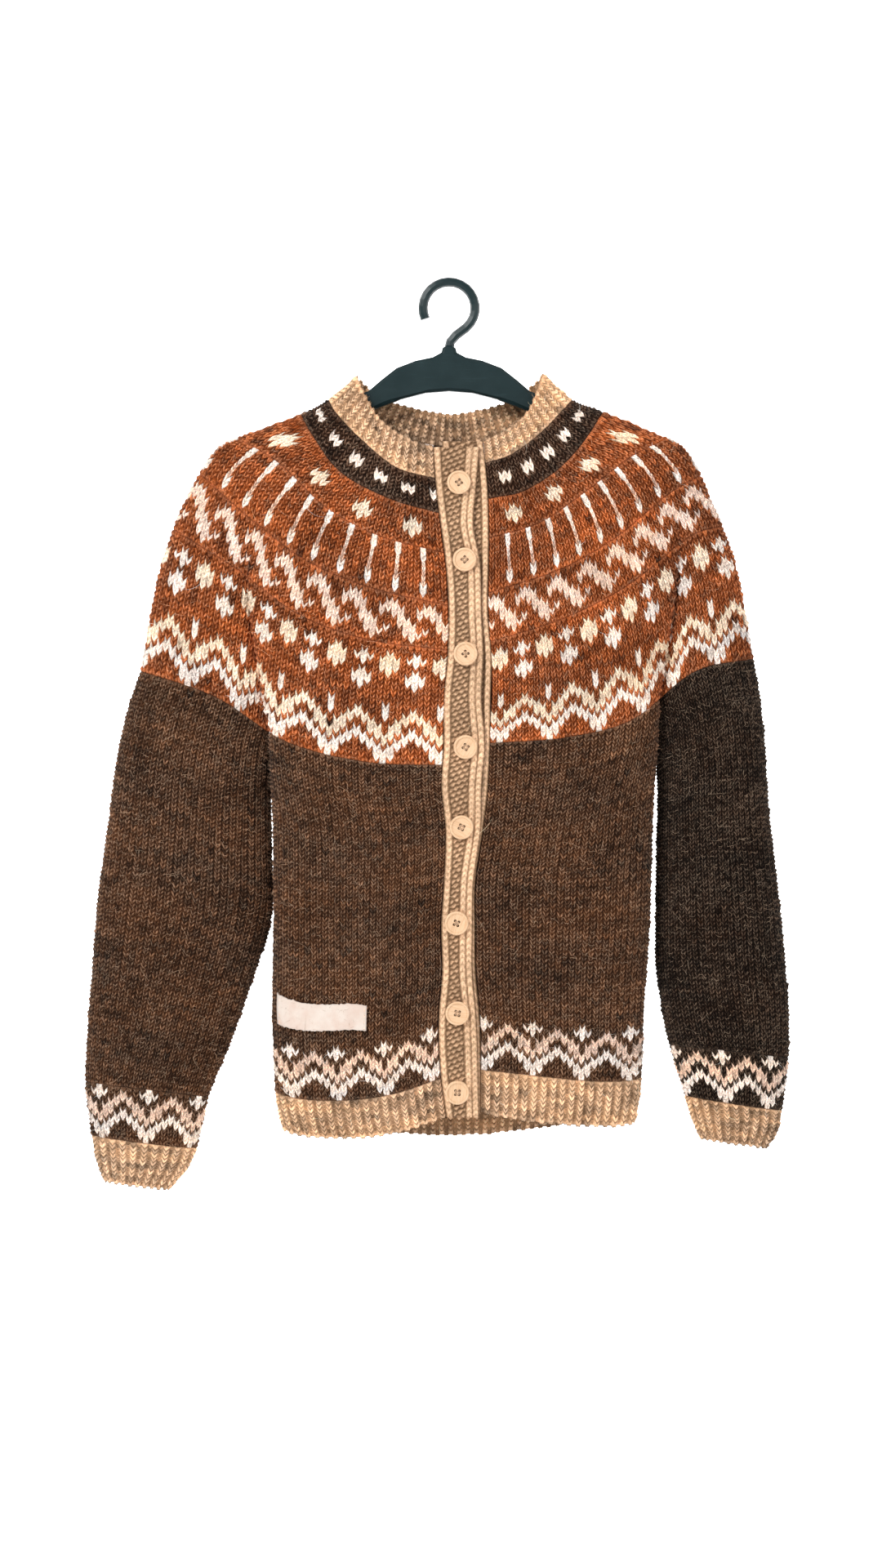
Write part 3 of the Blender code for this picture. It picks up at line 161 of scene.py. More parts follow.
# ---------------------------------------------------------------- the body and the welt
BODY_SIDES = [               # share of the way down, side of the body right and left
    (0.0, -150.0, 176.0), (0.17, -147.6, 172.5), (0.37, -147.0, 170.0),
    (0.6, -147.0, 168.0), (0.8, -148.0, 163.5), (1.0, -145.5, 161.0),
]
BODY_SIDE_Y = -6.0           # the side's fold lies a little in front of the middle
CORNERS = {False: 3.6, True: 2.6}    # exponents of the body's section, front and back
UNDERARM_DROP = 7.0          # sag of the underarm between the two creases
ARMHOLE_SHARE = 0.3          # share of the body's height that leads into the armhole
WELT = {                     # share of the way round to the side, height of the welt's edge
    ("right", "top"): [(0.0, -664.5), (0.25, -677.5), (0.5, -683.0), (0.7, -683.0), (1.0, -676.0)],
    ("left", "top"): [(0.0, -657.5), (0.3, -662.5), (0.55, -666.5), (0.8, -667.5), (1.0, -665.0)],
    ("right", "end"): [(0.0, -697.0), (0.25, -709.5), (0.5, -714.5), (0.75, -714.0), (1.0, -708.5)],
    ("left", "end"): [(0.0, -694.0), (0.3, -701.0), (0.6, -704.5), (0.8, -705.0), (1.0, -703.0)],
}
BACK_WELT = {"top": -684.0, "end": -719.5}       # at the centre of the back
WELT_END_SIDES = {"right": -139.0, "left": 156.0}
# side and back: share round, width, share down, length and depth of each soft fold
FOLDS = {
    ("right", False): [(0.22, 0.10, 0.45, 0.50, 2.2), (0.62, 0.09, 0.55, 0.40, -2.4)],
    ("left", False): [(0.30, 0.12, 0.40, 0.45, -2.6), (0.66, 0.10, 0.60, 0.45, 2.2)],
    ("right", True): [(0.25, 0.12, 0.50, 0.50, 3.0), (0.62, 0.11, 0.45, 0.45, -2.8)],
    ("left", True): [(0.34, 0.12, 0.55, 0.50, 2.6), (0.70, 0.10, 0.40, 0.45, -2.6)],
}

# ---------------------------------------------------------------- the sleeves
# share of the way down, outer x and z, inner x and z, half depth, middle y
SLEEVES = {
    "right": [
        (0.12, -277.0, -372.0, -151.5, -411.0, 22.0, 5.0),
        (0.33, -287.0, -446.8, -150.5, -474.0, 22.0, 9.0),
        (0.50, -296.5, -514.8, -150.5, -531.8, 21.0, 10.0),
        (0.66, -301.2, -576.0, -168.0, -589.6, 20.0, 9.0),
        (0.80, -305.3, -630.4, -187.7, -644.0, 19.0, 8.0),
        (0.91, -306.6, -674.6, -204.0, -684.8, 18.0, 7.0),
        (1.00, -301.9, -716.0, -213.5, -726.9, 17.0, 6.0),
    ],
    "left": [
        (0.12, 265.9, -366.0, 177.5, -396.0, 24.0, 5.0),
        (0.33, 270.0, -440.0, 176.5, -460.0, 25.0, 10.0),
        (0.50, 277.5, -505.0, 175.5, -521.6, 25.0, 11.0),
        (0.68, 283.6, -568.0, 176.5, -580.0, 23.0, 10.0),
        (0.82, 287.0, -622.0, 184.5, -630.4, 21.0, 8.0),
        (0.92, 285.5, -660.0, 193.1, -660.0, 19.0, 7.0),
        (1.00, 280.8, -695.0, 199.9, -682.7, 18.0, 6.0),
    ],
}
CUFFS = {
    "right": [
        (0.0, -301.9, -716.0, -213.5, -726.9, 17.0, 6.0),
        (0.55, -297.5, -738.0, -222.0, -745.0, 15.5, 5.5),
        (1.0, -291.0, -754.5, -236.5, -761.5, 13.5, 5.0),
    ],
    "left": [
        (0.0, 280.8, -695.0, 199.9, -682.7, 18.0, 6.0),
        (0.55, 277.5, -712.0, 205.5, -702.0, 16.0, 5.5),
        (1.0, 268.6, -726.5, 213.0, -719.0, 14.0, 5.0),
    ],
}
SLEEVE_SECTION_ROUND = 2.4
SLEEVE_HEAD_SHARE = 0.22     # share of the sleeve's length that leads into the sleeve head

# ---------------------------------------------------------------- buttons and label
BUTTON_RADIUS = 10.0
BUTTON_THICKNESS = 4.2
BUTTON_RIM = 2.2             # width of the raised rim
BUTTON_SIDES = 48
DISH_DEPTH = 1.2             # depth of the dished middle
HOLE_PITCH = 3.2
HOLE_RADIUS = 1.15
BUTTON_HEIGHTS = (-168.0, -232.6, -311.4, -389.0, -455.6, -535.2, -610.0, -676.0)
BUTTON_EDGE = 38.0           # degrees between faces from which an edge stays sharp
FIRST_TURN, NEXT_TURN = 0.5, 1.7     # how far the buttons are turned on their thread
THREAD_RADIUS = 0.45
THREAD_TONE = 0.42           # how dark the thread is
SEWING_RADIUS = 0.35         # of the label's sewing
LABEL_CORNERS = [(-142.5, -594.5), (-68.5, -604.0), (-69.0, -625.0), (-142.5, -620.0)]
LABEL_COLUMNS, LABEL_ROWS = 52, 16
LABEL_UNDERSIDE = 0.6        # of the label over the cloth

# ---------------------------------------------------------------- the cloth's declarations
# piece: nodes that it stands for, slot, flat size in metres, area in square metres
CLOTH = {
    "knit_yoke": (
        ("yoke_right_front", "yoke_left_front", "yoke_back"), "rust_wool", (1.02, 0.30), 0.24),
    "knit_body": (
        ("body_right_front", "body_left_front", "body_back"), "brown_wool", (0.74, 0.31), 0.21),
    "knit_sleeve_right": (("sleeve_right",), "brown_wool", (0.33, 0.41), 0.115),
    "knit_sleeve_left": (("sleeve_left",), "brown_wool", (0.28, 0.38), 0.09),
    "rib_welt": (
        ("welt_right_front", "welt_left_front", "welt_back"), "tan_wool", (0.90, 0.034), None),
    "rib_neckband": (("neckband_right", "neckband_left"), "tan_wool", (0.56, 0.028), None),
    "rib_cuff_right": (("cuff_right",), "tan_wool", (0.23, 0.04), None),
    "rib_cuff_left": (("cuff_left",), "tan_wool", (0.22, 0.035), None),
    "band_buttonhole_knit": (("band_buttonholes",), "tan_wool", (0.031, 0.56), None),
    "band_button_knit": (("band_buttons",), "tan_wool", (0.026, 0.56), None),
    "tape_label": (("label",), "label_tape", (0.077, 0.023), None),
}


# ================================================================ curves
def smooth(knots, values, at, flat_start=False):
    """Read a smooth curve through the values at the knots (cubic Hermite)."""
    knots, values = np.asarray(knots, dtype=float), np.asarray(values, dtype=float)
    at = np.clip(np.asarray(at, dtype=float), knots[0], knots[-1])
    slopes = np.gradient(values, knots, axis=0)
    if flat_start:
        slopes[0] = 0.0
    index = np.clip(np.searchsorted(knots, at, side="right") - 1, 0, len(knots) - 2)
    span = knots[index + 1] - knots[index]
    t = (at - knots[index]) / span
    shape = t.shape + (1,) * (values.ndim - 1)
    t, span = t.reshape(shape), span.reshape(shape)
    start = (2.0 * t**3 - 3.0 * t**2 + 1.0) * values[index]
    start_slope = (t**3 - 2.0 * t**2 + t) * span * slopes[index]
    end = (3.0 * t**2 - 2.0 * t**3) * values[index + 1]
    end_slope = (t**3 - t**2) * span * slopes[index + 1]
    return start + start_slope + end + end_slope


def table(rows, at, column=1):
    """Read one column of a table whose first column holds the knots, in any order."""
    ordered = sorted(rows, key=lambda row: row[0])
    return smooth([row[0] for row in ordered], [row[column] for row in ordered], at)


def smoothstep(value):
    """Rise from 0 to 1 with flat ends."""
    value = np.clip(value, 0.0, 1.0)
    return value * value * (3.0 - 2.0 * value)


def blend(first, second, share):
    """Go from the first to the second."""
    return first * (1.0 - share) + second * share


def rounded(share, power):
    """A rounded profile that falls from 1 to 0."""
    return (1.0 - share**power) ** (1.0 / power)


def even(count):
    """Shares of a stretch with equal steps, both ends included."""
    return np.linspace(0.0, 1.0, count + 1)


def unit(vectors):
    """The vectors at length 1."""
    return vectors / np.maximum(np.linalg.norm(vectors, axis=-1, keepdims=True), 1e-9)


def arc_lengths(points):
    """Distance along a line of points."""
    steps = np.linalg.norm(np.diff(points, axis=0), axis=1)
    return np.concatenate([[0.0], np.cumsum(steps)])


def spaced(points, shares, along=None):
    """Points at the given shares of a dense line's length."""
    along = arc_lengths(points) if along is None else along
    wanted = np.asarray(shares) * along[-1]
    return np.stack([np.interp(wanted, along, points[:, axis]) for axis in range(3)], axis=1)


def depth_at(back, z):
    """Distance of the front or the back from the middle plane."""
    return table(DEPTHS, z, 2 if back else 1)


def band_edge(side, z):
    """Where the front of one side ends at its button band."""
    return float(table(BANDS, z, COLUMN[side]))


# ================================================================ shape of the garment
def ring_stations(side, row):
    """The five stations (x, z) of one side's ring at a row."""
    stations = [
        [(band_edge(side, ring[1]), ring[1]), *zip(ring[2::2], ring[3::2])]
        for ring in RINGS[side]
    ]
    return smooth([ring[0] for ring in RINGS[side]], np.array(stations), row)


def half_ring(side, back, row):
    """Dense half ring from the band edge or the centre back to the shoulder line.

    Returns the points and the index of the crease among them.
    """
    controls = ring_stations(side, row)
    crease = float(table(CREASES, row, COLUMN[side]))
    strength = float(np.clip(table(CREASES, row, 3), 0.0, 1.0))
    share = np.unique(np.concatenate([
        crease * np.linspace(0.0, 1.0, DENSE) ** 0.7,
        crease + (1.0 - crease) * (0.5 - 0.5 * np.cos(np.pi * np.linspace(0.0, 1.0, DENSE))),
        1.0 - np.linspace(0.0, 0.2, 60) ** 2.5,
    ]))
    if back:
        tip = controls[-1]
        both = [controls, ring_stations("left" if side == "right" else "right", row)]
        parts = [(line - line[0]) / (line[-1] - line[0]) for line in both]
        mean = 0.5 * (parts[0] + parts[1])
        centre = (CENTRE_BACK_X, float(table(BACK_RINGS, row)))
        x = centre[0] + (tip[0] - centre[0]) * smooth(STATIONS, mean[:, 0], share)
        z = centre[1] + (tip[1] - centre[1]) * smooth(STATIONS, mean[:, 1], share, flat_start=True)
    else:
        x, z = smooth(STATIONS, controls, share).T
    depth = depth_at(back, z)
    body = np.clip(share / crease, 0.0, 1.0)
    body_y = CREASE_DEPTH + (depth - CREASE_DEPTH) * rounded(body, BODY_ROUND)
    head = np.clip((share - crease) / (1.0 - crease), 0.0, 1.0)
    swell = rounded(np.abs(2.0 * head - 1.0), SLEEVE_ROUND)
    head_y = CREASE_DEPTH * (1.0 - head) + SLEEVE_HEAD_DEPTH * swell
    folded = np.where(share < crease, body_y, head_y)
    y = blend(depth * rounded(share, SHOULDER_ROUND), folded, strength)
    crease_index = int(np.argmin(np.abs(share - crease)))
    return np.stack([x, y if back else -y, z], axis=1), crease_index


def join_line(side, back, part, shares):
    """Points of the join: "body" from the band or centre back, or "head" past the crease."""
    points, crease_index = half_ring(side, back, 0.0)
    stretch = points[:crease_index + 1] if part == "body" else points[crease_index:]
    return spaced(stretch, shares)


def underarm_arcs(side):
    """The front and the back half of the underarm, from the crease to the lowest point."""
    share = even(UNDERARM_STEPS)
    arcs = {}
    for back in (False, True):
        x, y, z = join_line(side, back, "body", [1.0])[0]
        drop = UNDERARM_DROP * np.sin(share * math.pi / 2) ** 1.5
        arc = [np.full(len(share), x), y * np.cos(share * math.pi / 2), z - drop]
        arcs[back] = np.stack(arc, axis=1)
    middle = 0.5 * (arcs[False][-1] + arcs[True][-1])
    return {back: arc + (middle - arc[-1]) * share[:, None] for back, arc in arcs.items()}


def body_section(side, back, z, side_x):
    """Dense section of the body from the band edge or the centre back to the side."""
    start_x = CENTRE_BACK_X if back else band_edge(side, z)
    angle = np.linspace(0.0, math.pi / 2, DENSE)
    x = start_x + (side_x - start_x) * np.sin(angle) ** (2.0 / CORNERS[back])
    depth = float(depth_at(back, z))
    reach = depth - BODY_SIDE_Y if back else -(depth + BODY_SIDE_Y)
    y = BODY_SIDE_Y + reach * np.cos(angle) ** (2.0 / CORNERS[back])
    return np.stack([x, y, np.full(DENSE, z)], axis=1)


def fold_offset(side, back, around, down):
    """The soft folds' shift in y at a place on the body; they die out towards the side."""
    total = 0.0
    for centre, width, middle, length, depth in FOLDS[side, back]:
        across = np.exp(-(((around - centre) / width) ** 2))
        along = np.exp(-(((down - middle) / length) ** 2))
        total = total + depth * across * along
    return total * (1.0 if back else -1.0) * (1.0 - smoothstep((around - 0.8) / 0.2))


def welt_height(side, back, around, edge):
    """Height of the body's lower edge ("top" of the welt) or of the welt's end."""
    if not back:
        return table(WELT[side, edge], around)
    side_height = float(welt_height(side, False, 1.0, edge))
    return BACK_WELT[edge] + (side_height - BACK_WELT[edge]) * smoothstep(around)


class BodyQuarter:
    """A quarter of the body between the join and its lower edge."""

    def __init__(self, side, back):
        self.key = (side, back)
        armhole = join_line(side, back, "body", even(DENSE_QUARTER))
        self.top = np.concatenate([armhole, underarm_arcs(side)[back][1:]])
        along = arc_lengths(self.top)
        self.around = along / along[-1]
        self.low = welt_height(side, back, self.around, "top")

    def at(self, down):
        """The quarter's line of points at a share of the way down."""
        side, back = self.key
        height = self.top[:, 2] + (self.low - self.top[:, 2]) * down
        side_x = float(table(BODY_SIDES, down, COLUMN[side]))
        low = spaced(body_section(side, back, float(height[0]), side_x), self.around)
        share = smoothstep(down / ARMHOLE_SHARE)
        points = blend(self.top, low, share)
        points[:, 2] = height
        points[0, 0] = CENTRE_BACK_X if back else band_edge(side, height[0])
        points[:, 1] += fold_offset(side, back, self.around, down) * share
        return points


def welt_quarter(side, back, down):
    """A quarter of the welt's line at a share of the way down."""
    around = even(WELT_STEPS)
    top, end = [welt_height(side, back, around, edge) for edge in ("top", "end")]
    height = top + (end - top) * down
    top_side = float(table(BODY_SIDES, 1.0, COLUMN[side]))
    side_x = top_side + (WELT_END_SIDES[side] - top_side) * down**1.6
    points = spaced(body_section(side, back, float(height[0]), side_x), around)
    points[:, 2] = height
    points[:, 1] += fold_offset(side, back, around, 1.0)
    return points


def sleeve_section(rows, down):
    """Closed section of a sleeve, from its inner edge by the front and back again."""
    values = smooth([row[0] for row in rows], [row[1:] for row in rows], down)
    outer, inner = values[:2], values[2:4]
    half_depth, middle = values[4:]
    angle = np.linspace(0.0, 2.0 * math.pi, 4 * DENSE + 1)
    along, across = [
        np.sign(part) * np.abs(part) ** (2.0 / SLEEVE_SECTION_ROUND)
        for part in (np.cos(angle), np.sin(angle))
    ]
    centre, reach = 0.5 * (inner + outer), 0.5 * (inner - outer)
    line = [
        centre[0] + reach[0] * along, middle - half_depth * across, centre[1] + reach[1] * along,
    ]
    return np.stack(line, axis=1)


def sleeve_head(side):
    """The sleeve's top ring, from the underarm by the front to the shoulder and back."""
    arcs = underarm_arcs(side)
    front, rear = [join_line(side, back, "head", even(DENSE_QUARTER)) for back in (False, True)]
    return np.concatenate([arcs[False][::-1], front[1:], rear[::-1][1:], arcs[True][1:]])


def sleeve_line(side, down, top, shares):
    """One closed line of a sleeve; the head blends into the plain sections below."""
    first = SLEEVES[side][0][0]
    low = spaced(sleeve_section(SLEEVES[side], max(down, first)), shares)
    if down < first:
        low = blend(top, low, down / first)
    return blend(top, low, smoothstep(down / SLEEVE_HEAD_SHARE))


# ================================================================ what a user would change
def count_property(name, description, default, least):
    """A number of stitches, rows or fibres in the sidebar."""
    return bpy.props.IntProperty(name=name, description=description, default=default, min=least)


def length_property(name, description, default):
    """A length in the sidebar, in metres."""
    return bpy.props.FloatProperty(
        name=name, description=description, default=default, min=0.0, unit="LENGTH", precision=4,
    )


def colour_property(name, description, default):
    """A colour in the sidebar."""
    return bpy.props.FloatVectorProperty(
        name=name, description=description, default=default, size=3, min=0.0, max=1.0,
        subtype="COLOR",
    )


class CardiganSizes(bpy.types.PropertyGroup):
    """Stitch counts and sizes of the knitting."""

    body_stitches: count_property("Body stitches", "Stitches round the body", 122, 40)
    body_rows: count_property("Body rows", "Rows from the welt to the yoke", 82, 16)
    sleeve_rows: count_property("Sleeve rows", "Rows from the cuff to the yoke", 103, 20)
    relief: length_property("Stitch relief", "Height of a stitch's legs over its edges", 0.0014)
    rib_relief: length_property("Rib relief", "Height of knit over purl columns", 0.0013)
    fibre: length_property("Fibre length", "Mean length of the loose fibres", 0.0040)
    fibres: count_property("Fibres", "Number of loose fibres on the whole garment", 24000, 0)


class CardiganColours(bpy.types.PropertyGroup):
    """Colours of the yarns and the hard parts."""

    brown: colour_property("Brown", "Yarn of body and sleeves", (0.150, 0.074, 0.038))
    dark: colour_property("Dark brown", "Yarn of the yoke's collar", (0.078, 0.038, 0.021))
    rust: colour_property("Rust", "Yarn of the yoke's ground", (0.405, 0.127, 0.039))
    white: colour_property("White", "Lightest yarn", (0.90, 0.80, 0.72))
    cream: colour_property("Cream", "Warm light yarn", (0.88, 0.70, 0.50))
    pink: colour_property("Pink", "Blush light yarn", (0.88, 0.63, 0.50))
    beige: colour_property("Beige", "Yarn of the border's upper zigzag", (0.74, 0.50, 0.37))
    tan: colour_property("Tan", "Yarn of ribs and bands", (0.77, 0.51, 0.325))
    wood: colour_property("Wood", "Turned buttons", (0.82, 0.56, 0.35))
    tape: colour_property("Tape", "Woven label", (0.76, 0.66, 0.58))
    plastic: colour_property("Plastic", "Moulded hanger", (0.007, 0.018, 0.020))


# ================================================================ charts
# One string for each row from the bottom up, one letter for each stitch:
# . ground   w white   c cream   p pink   t beige   i white, drawn thin   j pink, drawn thin
LETTERS = {"w": "white", "c": "cream", "p": "pink", "t": "beige", "i": "white", "j": "pink"}
ZIGZAG = [
    "w.......", "ww.....w", "ww.....w", ".ww...ww", "c.ww.ww.", "cc.www.c", ".cc.w.cc",
    ".cc...cc", "..cc.cc.", "w..ccc..", "w...c...", "w.......", "........", "........",
    "........", "....w...", "...www..", "...www..", "c...w...", "cc.....c", "cc..w..c",
    "cc.www.c", "c...w...", "........", "........",
]
WAVE = [
    "......", ".....p", "p...pp", ".p..pp", "...ppp", "...pp.", "p.pp..", "pppp..", ".pp...",
    "......",
]
BARS = ["....", "...w", "...w", "...j", "...j", "...j", "...i", "...i", "...w", "...w", "...w"]
DIAMONDS = [
    "........", "........", "....c...", "...ccc..", "...ccc..", "....c...", "........", "........",
]
COLLAR = ["....", "....", "....", "w..w", "w..w", "....", "....", "...."]
BORDER = [
    "w.......", "ww.....w", "ww.....w", ".ww...ww", "t.ww.ww.", "tt.www.t", ".tt.w.tt",
    ".tt...tt", "..tt.tt.", "w..ttt..", "ww..t..w", "w.......",
]
# Bands of the yoke: first row, row past the last, stitches of the four quarters in the
# ring's order, ground yarn, chart, first stitch of the chart, direction along the ring.
YOKE_BANDS = [
    (0, 25, (48, 49, 49, 48), "rust", ZIGZAG, 0, 1),
    (25, 35, (47, 48, 48, 47), "rust", WAVE, 4, -1),
    (35, 46, (40, 40, 39, 40), "rust", BARS, 0, 1),
    (46, 54, (33, 32, 31, 33), "rust", DIAMONDS, 0, 1),
    (54, 62, (22, 22, 21, 22), "dark", COLLAR, 0, 1),
]
BODY_SHARES = (30, 32, 32, 28)       # how the body's stitches share the four quarters
BORDER_START = 1                     # first white valley of the body's border, from the band
SLEEVE_STITCHES = {"right": (44, 56), "left": (44, 50)}   # in the border and above it
SLEEVE_START = {"right": (6, 33), "left": (2, 10)}        # chart stitch, last before the jog
SLEEVE_PAINTED_SHADE = {"right": 0.90, "left": 0.24}               # painted shade on the sleeves' ground yarn; the left sleeve, which lies in shade, far darker
# painted light and shade on the cuffs: the right cuff is drawn brighter, the left one darker
CUFF_PAINTED_LIGHTING = {"right": 1.08, "left": 0.84}
BORDER_ROW = 3.75            # height of one row of the borders
RIB_PITCH = 8.2              # one knit and one purl column of the 1x1 rib
NECK_PITCH = RIB_PITCH * 0.92
WELT_ROWS, NECK_ROWS, CUFF_ROWS = 9, 7, 10

# A stitch's points along the row: place, height, lean in rows. The two legs form a V.
# crest is the height of a row's middle over its ends; dip and floor say how dark the
# painted shade in the gaps between rows and between columns is.
KNIT = {
    "points": [(0.0, 0.0, 0.55), (0.25, 1.0, 0.0), (0.5, 0.22, -0.55), (0.75, 1.0, 0.0)],
    "crest": 0.85, "dip": 0.14, "floor": 0.10,
}
RIB = {
    "points": [
        (0.0, -0.30, 0.40), (0.15, 1.0, 0.0), (0.30, 0.55, -0.44), (0.45, 1.0, 0.0),
        (0.60, -0.30, 0.40), (0.73, -0.95, 0.0), (0.87, -0.95, 0.0),
    ],
    "crest": 0.90, "dip": 0.30, "floor": 0.26,
}
WALL_INNER = 2.6             # the inner face lies this far under the cloth's face
INNER_ROWS, INNER_COLUMNS = 8, 2     # lines and points between two of the inner face
YARN_WOBBLE = 0.30           # how far a stitch's height strays, as a share of the relief
ROW_WOBBLE = 0.13            # how far a stitch strays up or down, in lines
SWAY, MOST_SWAY = 0.07, 0.35         # a column's stray sideways, in points
EDGE_SCALLOP = 0.55          # how far a rib's column stands over its bound-off edge, in lines
SEAM_FADE = 0.6              # share of the relief that comes back with each line from a seam
SEAM_SHADE = 0.52            # how dark the seam itself is
COLOUR_WOBBLE = 0.20         # how far a stitch's colour strays
PALE_FILL = 0.32             # how much of its gaps the pale yarn fills, lifting their painted shade
PALE_SWELL = 0.25            # how far the pale yarn stands over the ground
PALE_BLEND = 0.38            # how much the pale yarns have in common
DRIFT = 0.09                 # how far the yarn's colour drifts over many stitches
BRIGHTEST = 0.95             # of a yarn's red, green and blue


def palette():
    """The colours of the sidebar by name."""
    group = bpy.context.scene.cardigan_colours
    return {name: np.array(getattr(group, name)[:]) for name in group.__annotations__}


def yarn_colours(letters, ground, row, seed, painted_shading_tone):
    """Two colours for each stitch, outer and inner half; the yarn changes along its length."""
    colours = palette()
    places = np.arange(len(letters))
    tints = np.array([colours[LETTERS.get(letter, ground)] for letter in letters])
    light = np.array([letter in LETTERS for letter in letters])
    shade = np.sin(0.17 * places + 1.9 * row + seed) * np.cos(0.061 * places - 0.7 * row)
    varied = blend(colours["pink"], colours["white"], 0.5 + 0.5 * shade[:, None])
    tints = np.where(light[:, None], blend(tints, varied, PALE_BLEND), tints)
    noise = np.random.default_rng(int(1000 * seed + row)).normal(0.0, COLOUR_WOBBLE, len(letters))
    short = np.sin(0.31 * row + 0.11 * places + seed)
    short = short + np.sin(0.13 * row - 0.23 * places + 2.0 * seed)
    long = np.sin(1.7 * row + 0.035 * places) * np.sin(0.045 * places + seed + 0.2 * row)
    drift = DRIFT * (short + 1.2 * long)
    # the ground yarn takes the painted shading of its piece; the pale yarn keeps its brightness
    stray = np.where(light, 1.0 + 0.3 * (noise + drift), painted_shading_tone * (1.0 + noise + drift))
    tints = tints * stray[:, None]
    tints = tints * (1.0 + drift[:, None] * np.array([0.15, 0.0, -0.25]))
    thin = np.array([letter in "ij" for letter in letters])[:, None]
    faint = np.array([0.25 if letter == "j" else 0.10 for letter in letters])[:, None]
    outer = np.where(thin, colours[ground], tints)
    inner = np.where(thin, blend(tints, colours[ground], faint), tints)
    both = np.clip(np.stack([outer, inner], axis=1), 0.0, None)
    return both * np.minimum(1.0, BRIGHTEST / both.max(axis=-1, keepdims=True))


def chart_rows(chart, rows, count, ground, seed, start=0, direction=1, painted_shading_tone=1.0, seam=None):
    """Colours for rows of stitches read from a repeating chart; rows above it are plain.

    Past the seam the chart is counted back from the start of the round.
    """
    places = [place if seam is None or place <= seam else place - count for place in range(count)]
    made = []
    for row in range(rows):
        line = chart[row] if row < len(chart) else "."
        letters = [line[(direction * place + start) % len(line)] for place in places]
        made.append(yarn_colours(letters, ground, row, seed, painted_shading_tone))
    return np.array(made)


# ================================================================ meshes
def link_item(name, mesh):
    """An object of a mesh, linked to the scene."""
    item = bpy.data.objects.new(name, mesh)
    bpy.context.scene.collection.objects.link(item)
    return item


def quads(grid, closed=False):
    """Faces between the lines of a grid of point numbers; a closed one joins up sideways."""
    here = grid if closed else grid[:, :-1]
    after = np.roll(grid, -1, axis=1) if closed else grid[:, 1:]
    return np.stack([here[:-1], after[:-1], after[1:], here[1:]], axis=-1).reshape(-1, 4)


def rim(edge, behind, places, turned):
    """Faces from an edge of the outside to the inside's points behind some of its places."""
    faces = []
    for index, (start, stop) in enumerate(zip(places[:-1], places[1:])):
        face = [*edge[start:stop + 1], behind[index + 1], behind[index]]
        faces.append(face[::-1] if turned else face)
    return faces


class Knitting:
    """Collects the points, faces and colours of one piece."""

    def __init__(self):
        self.points = []
        self.faces = []
        self.colours = []
        self.heights = []
        self.count = 0

    def add(self, points, faces, colours, heights):
        """Add points and heights (n), and faces with a colour each; faces may be lists.

        The heights also set the painted shade of the wool.
        """
        self.points.append(points)
        self.heights.append(heights)
        self.faces.extend([[int(point) + self.count for point in face] for face in faces])
        self.colours.append(colours)
        self.count += len(points)

    def build(self, name, material):
        """Make the mesh object with its yarn colours and its heights, which also carry painted
        shade.
        """
        mesh = bpy.data.meshes.new(name)
        mesh.from_pydata((np.concatenate(self.points) * MM).tolist(), [], self.faces)
        mesh.materials.append(material)
        mesh.shade_smooth()
        colour = mesh.attributes.new("yarn_colour", "FLOAT_COLOR", "FACE")
        rgba = np.ones((len(self.faces), 4), dtype=np.float32)
        rgba[:, :3] = np.concatenate(self.colours)
        colour.data.foreach_set("color", rgba.ravel())
        height = mesh.attributes.new("yarn_height", "FLOAT", "POINT")
        height.data.foreach_set("value", np.concatenate(self.heights).astype(np.float32))
        return link_item(name, mesh)


# ================================================================ stitches
def stitch_points(count, pattern, closed):
    """Places of the points along a row, in stitches, with their heights and leans."""
    steps = np.array(pattern["points"])
    places = (np.arange(count)[:, None] + steps[:, 0]).ravel()
    heights, leans = np.tile(steps[:, 1], count), np.tile(steps[:, 2], count)
    if closed:
        return places, heights, leans
    return np.append(places, count), np.append(heights, steps[0, 1]), np.append(leans, steps[0, 2])


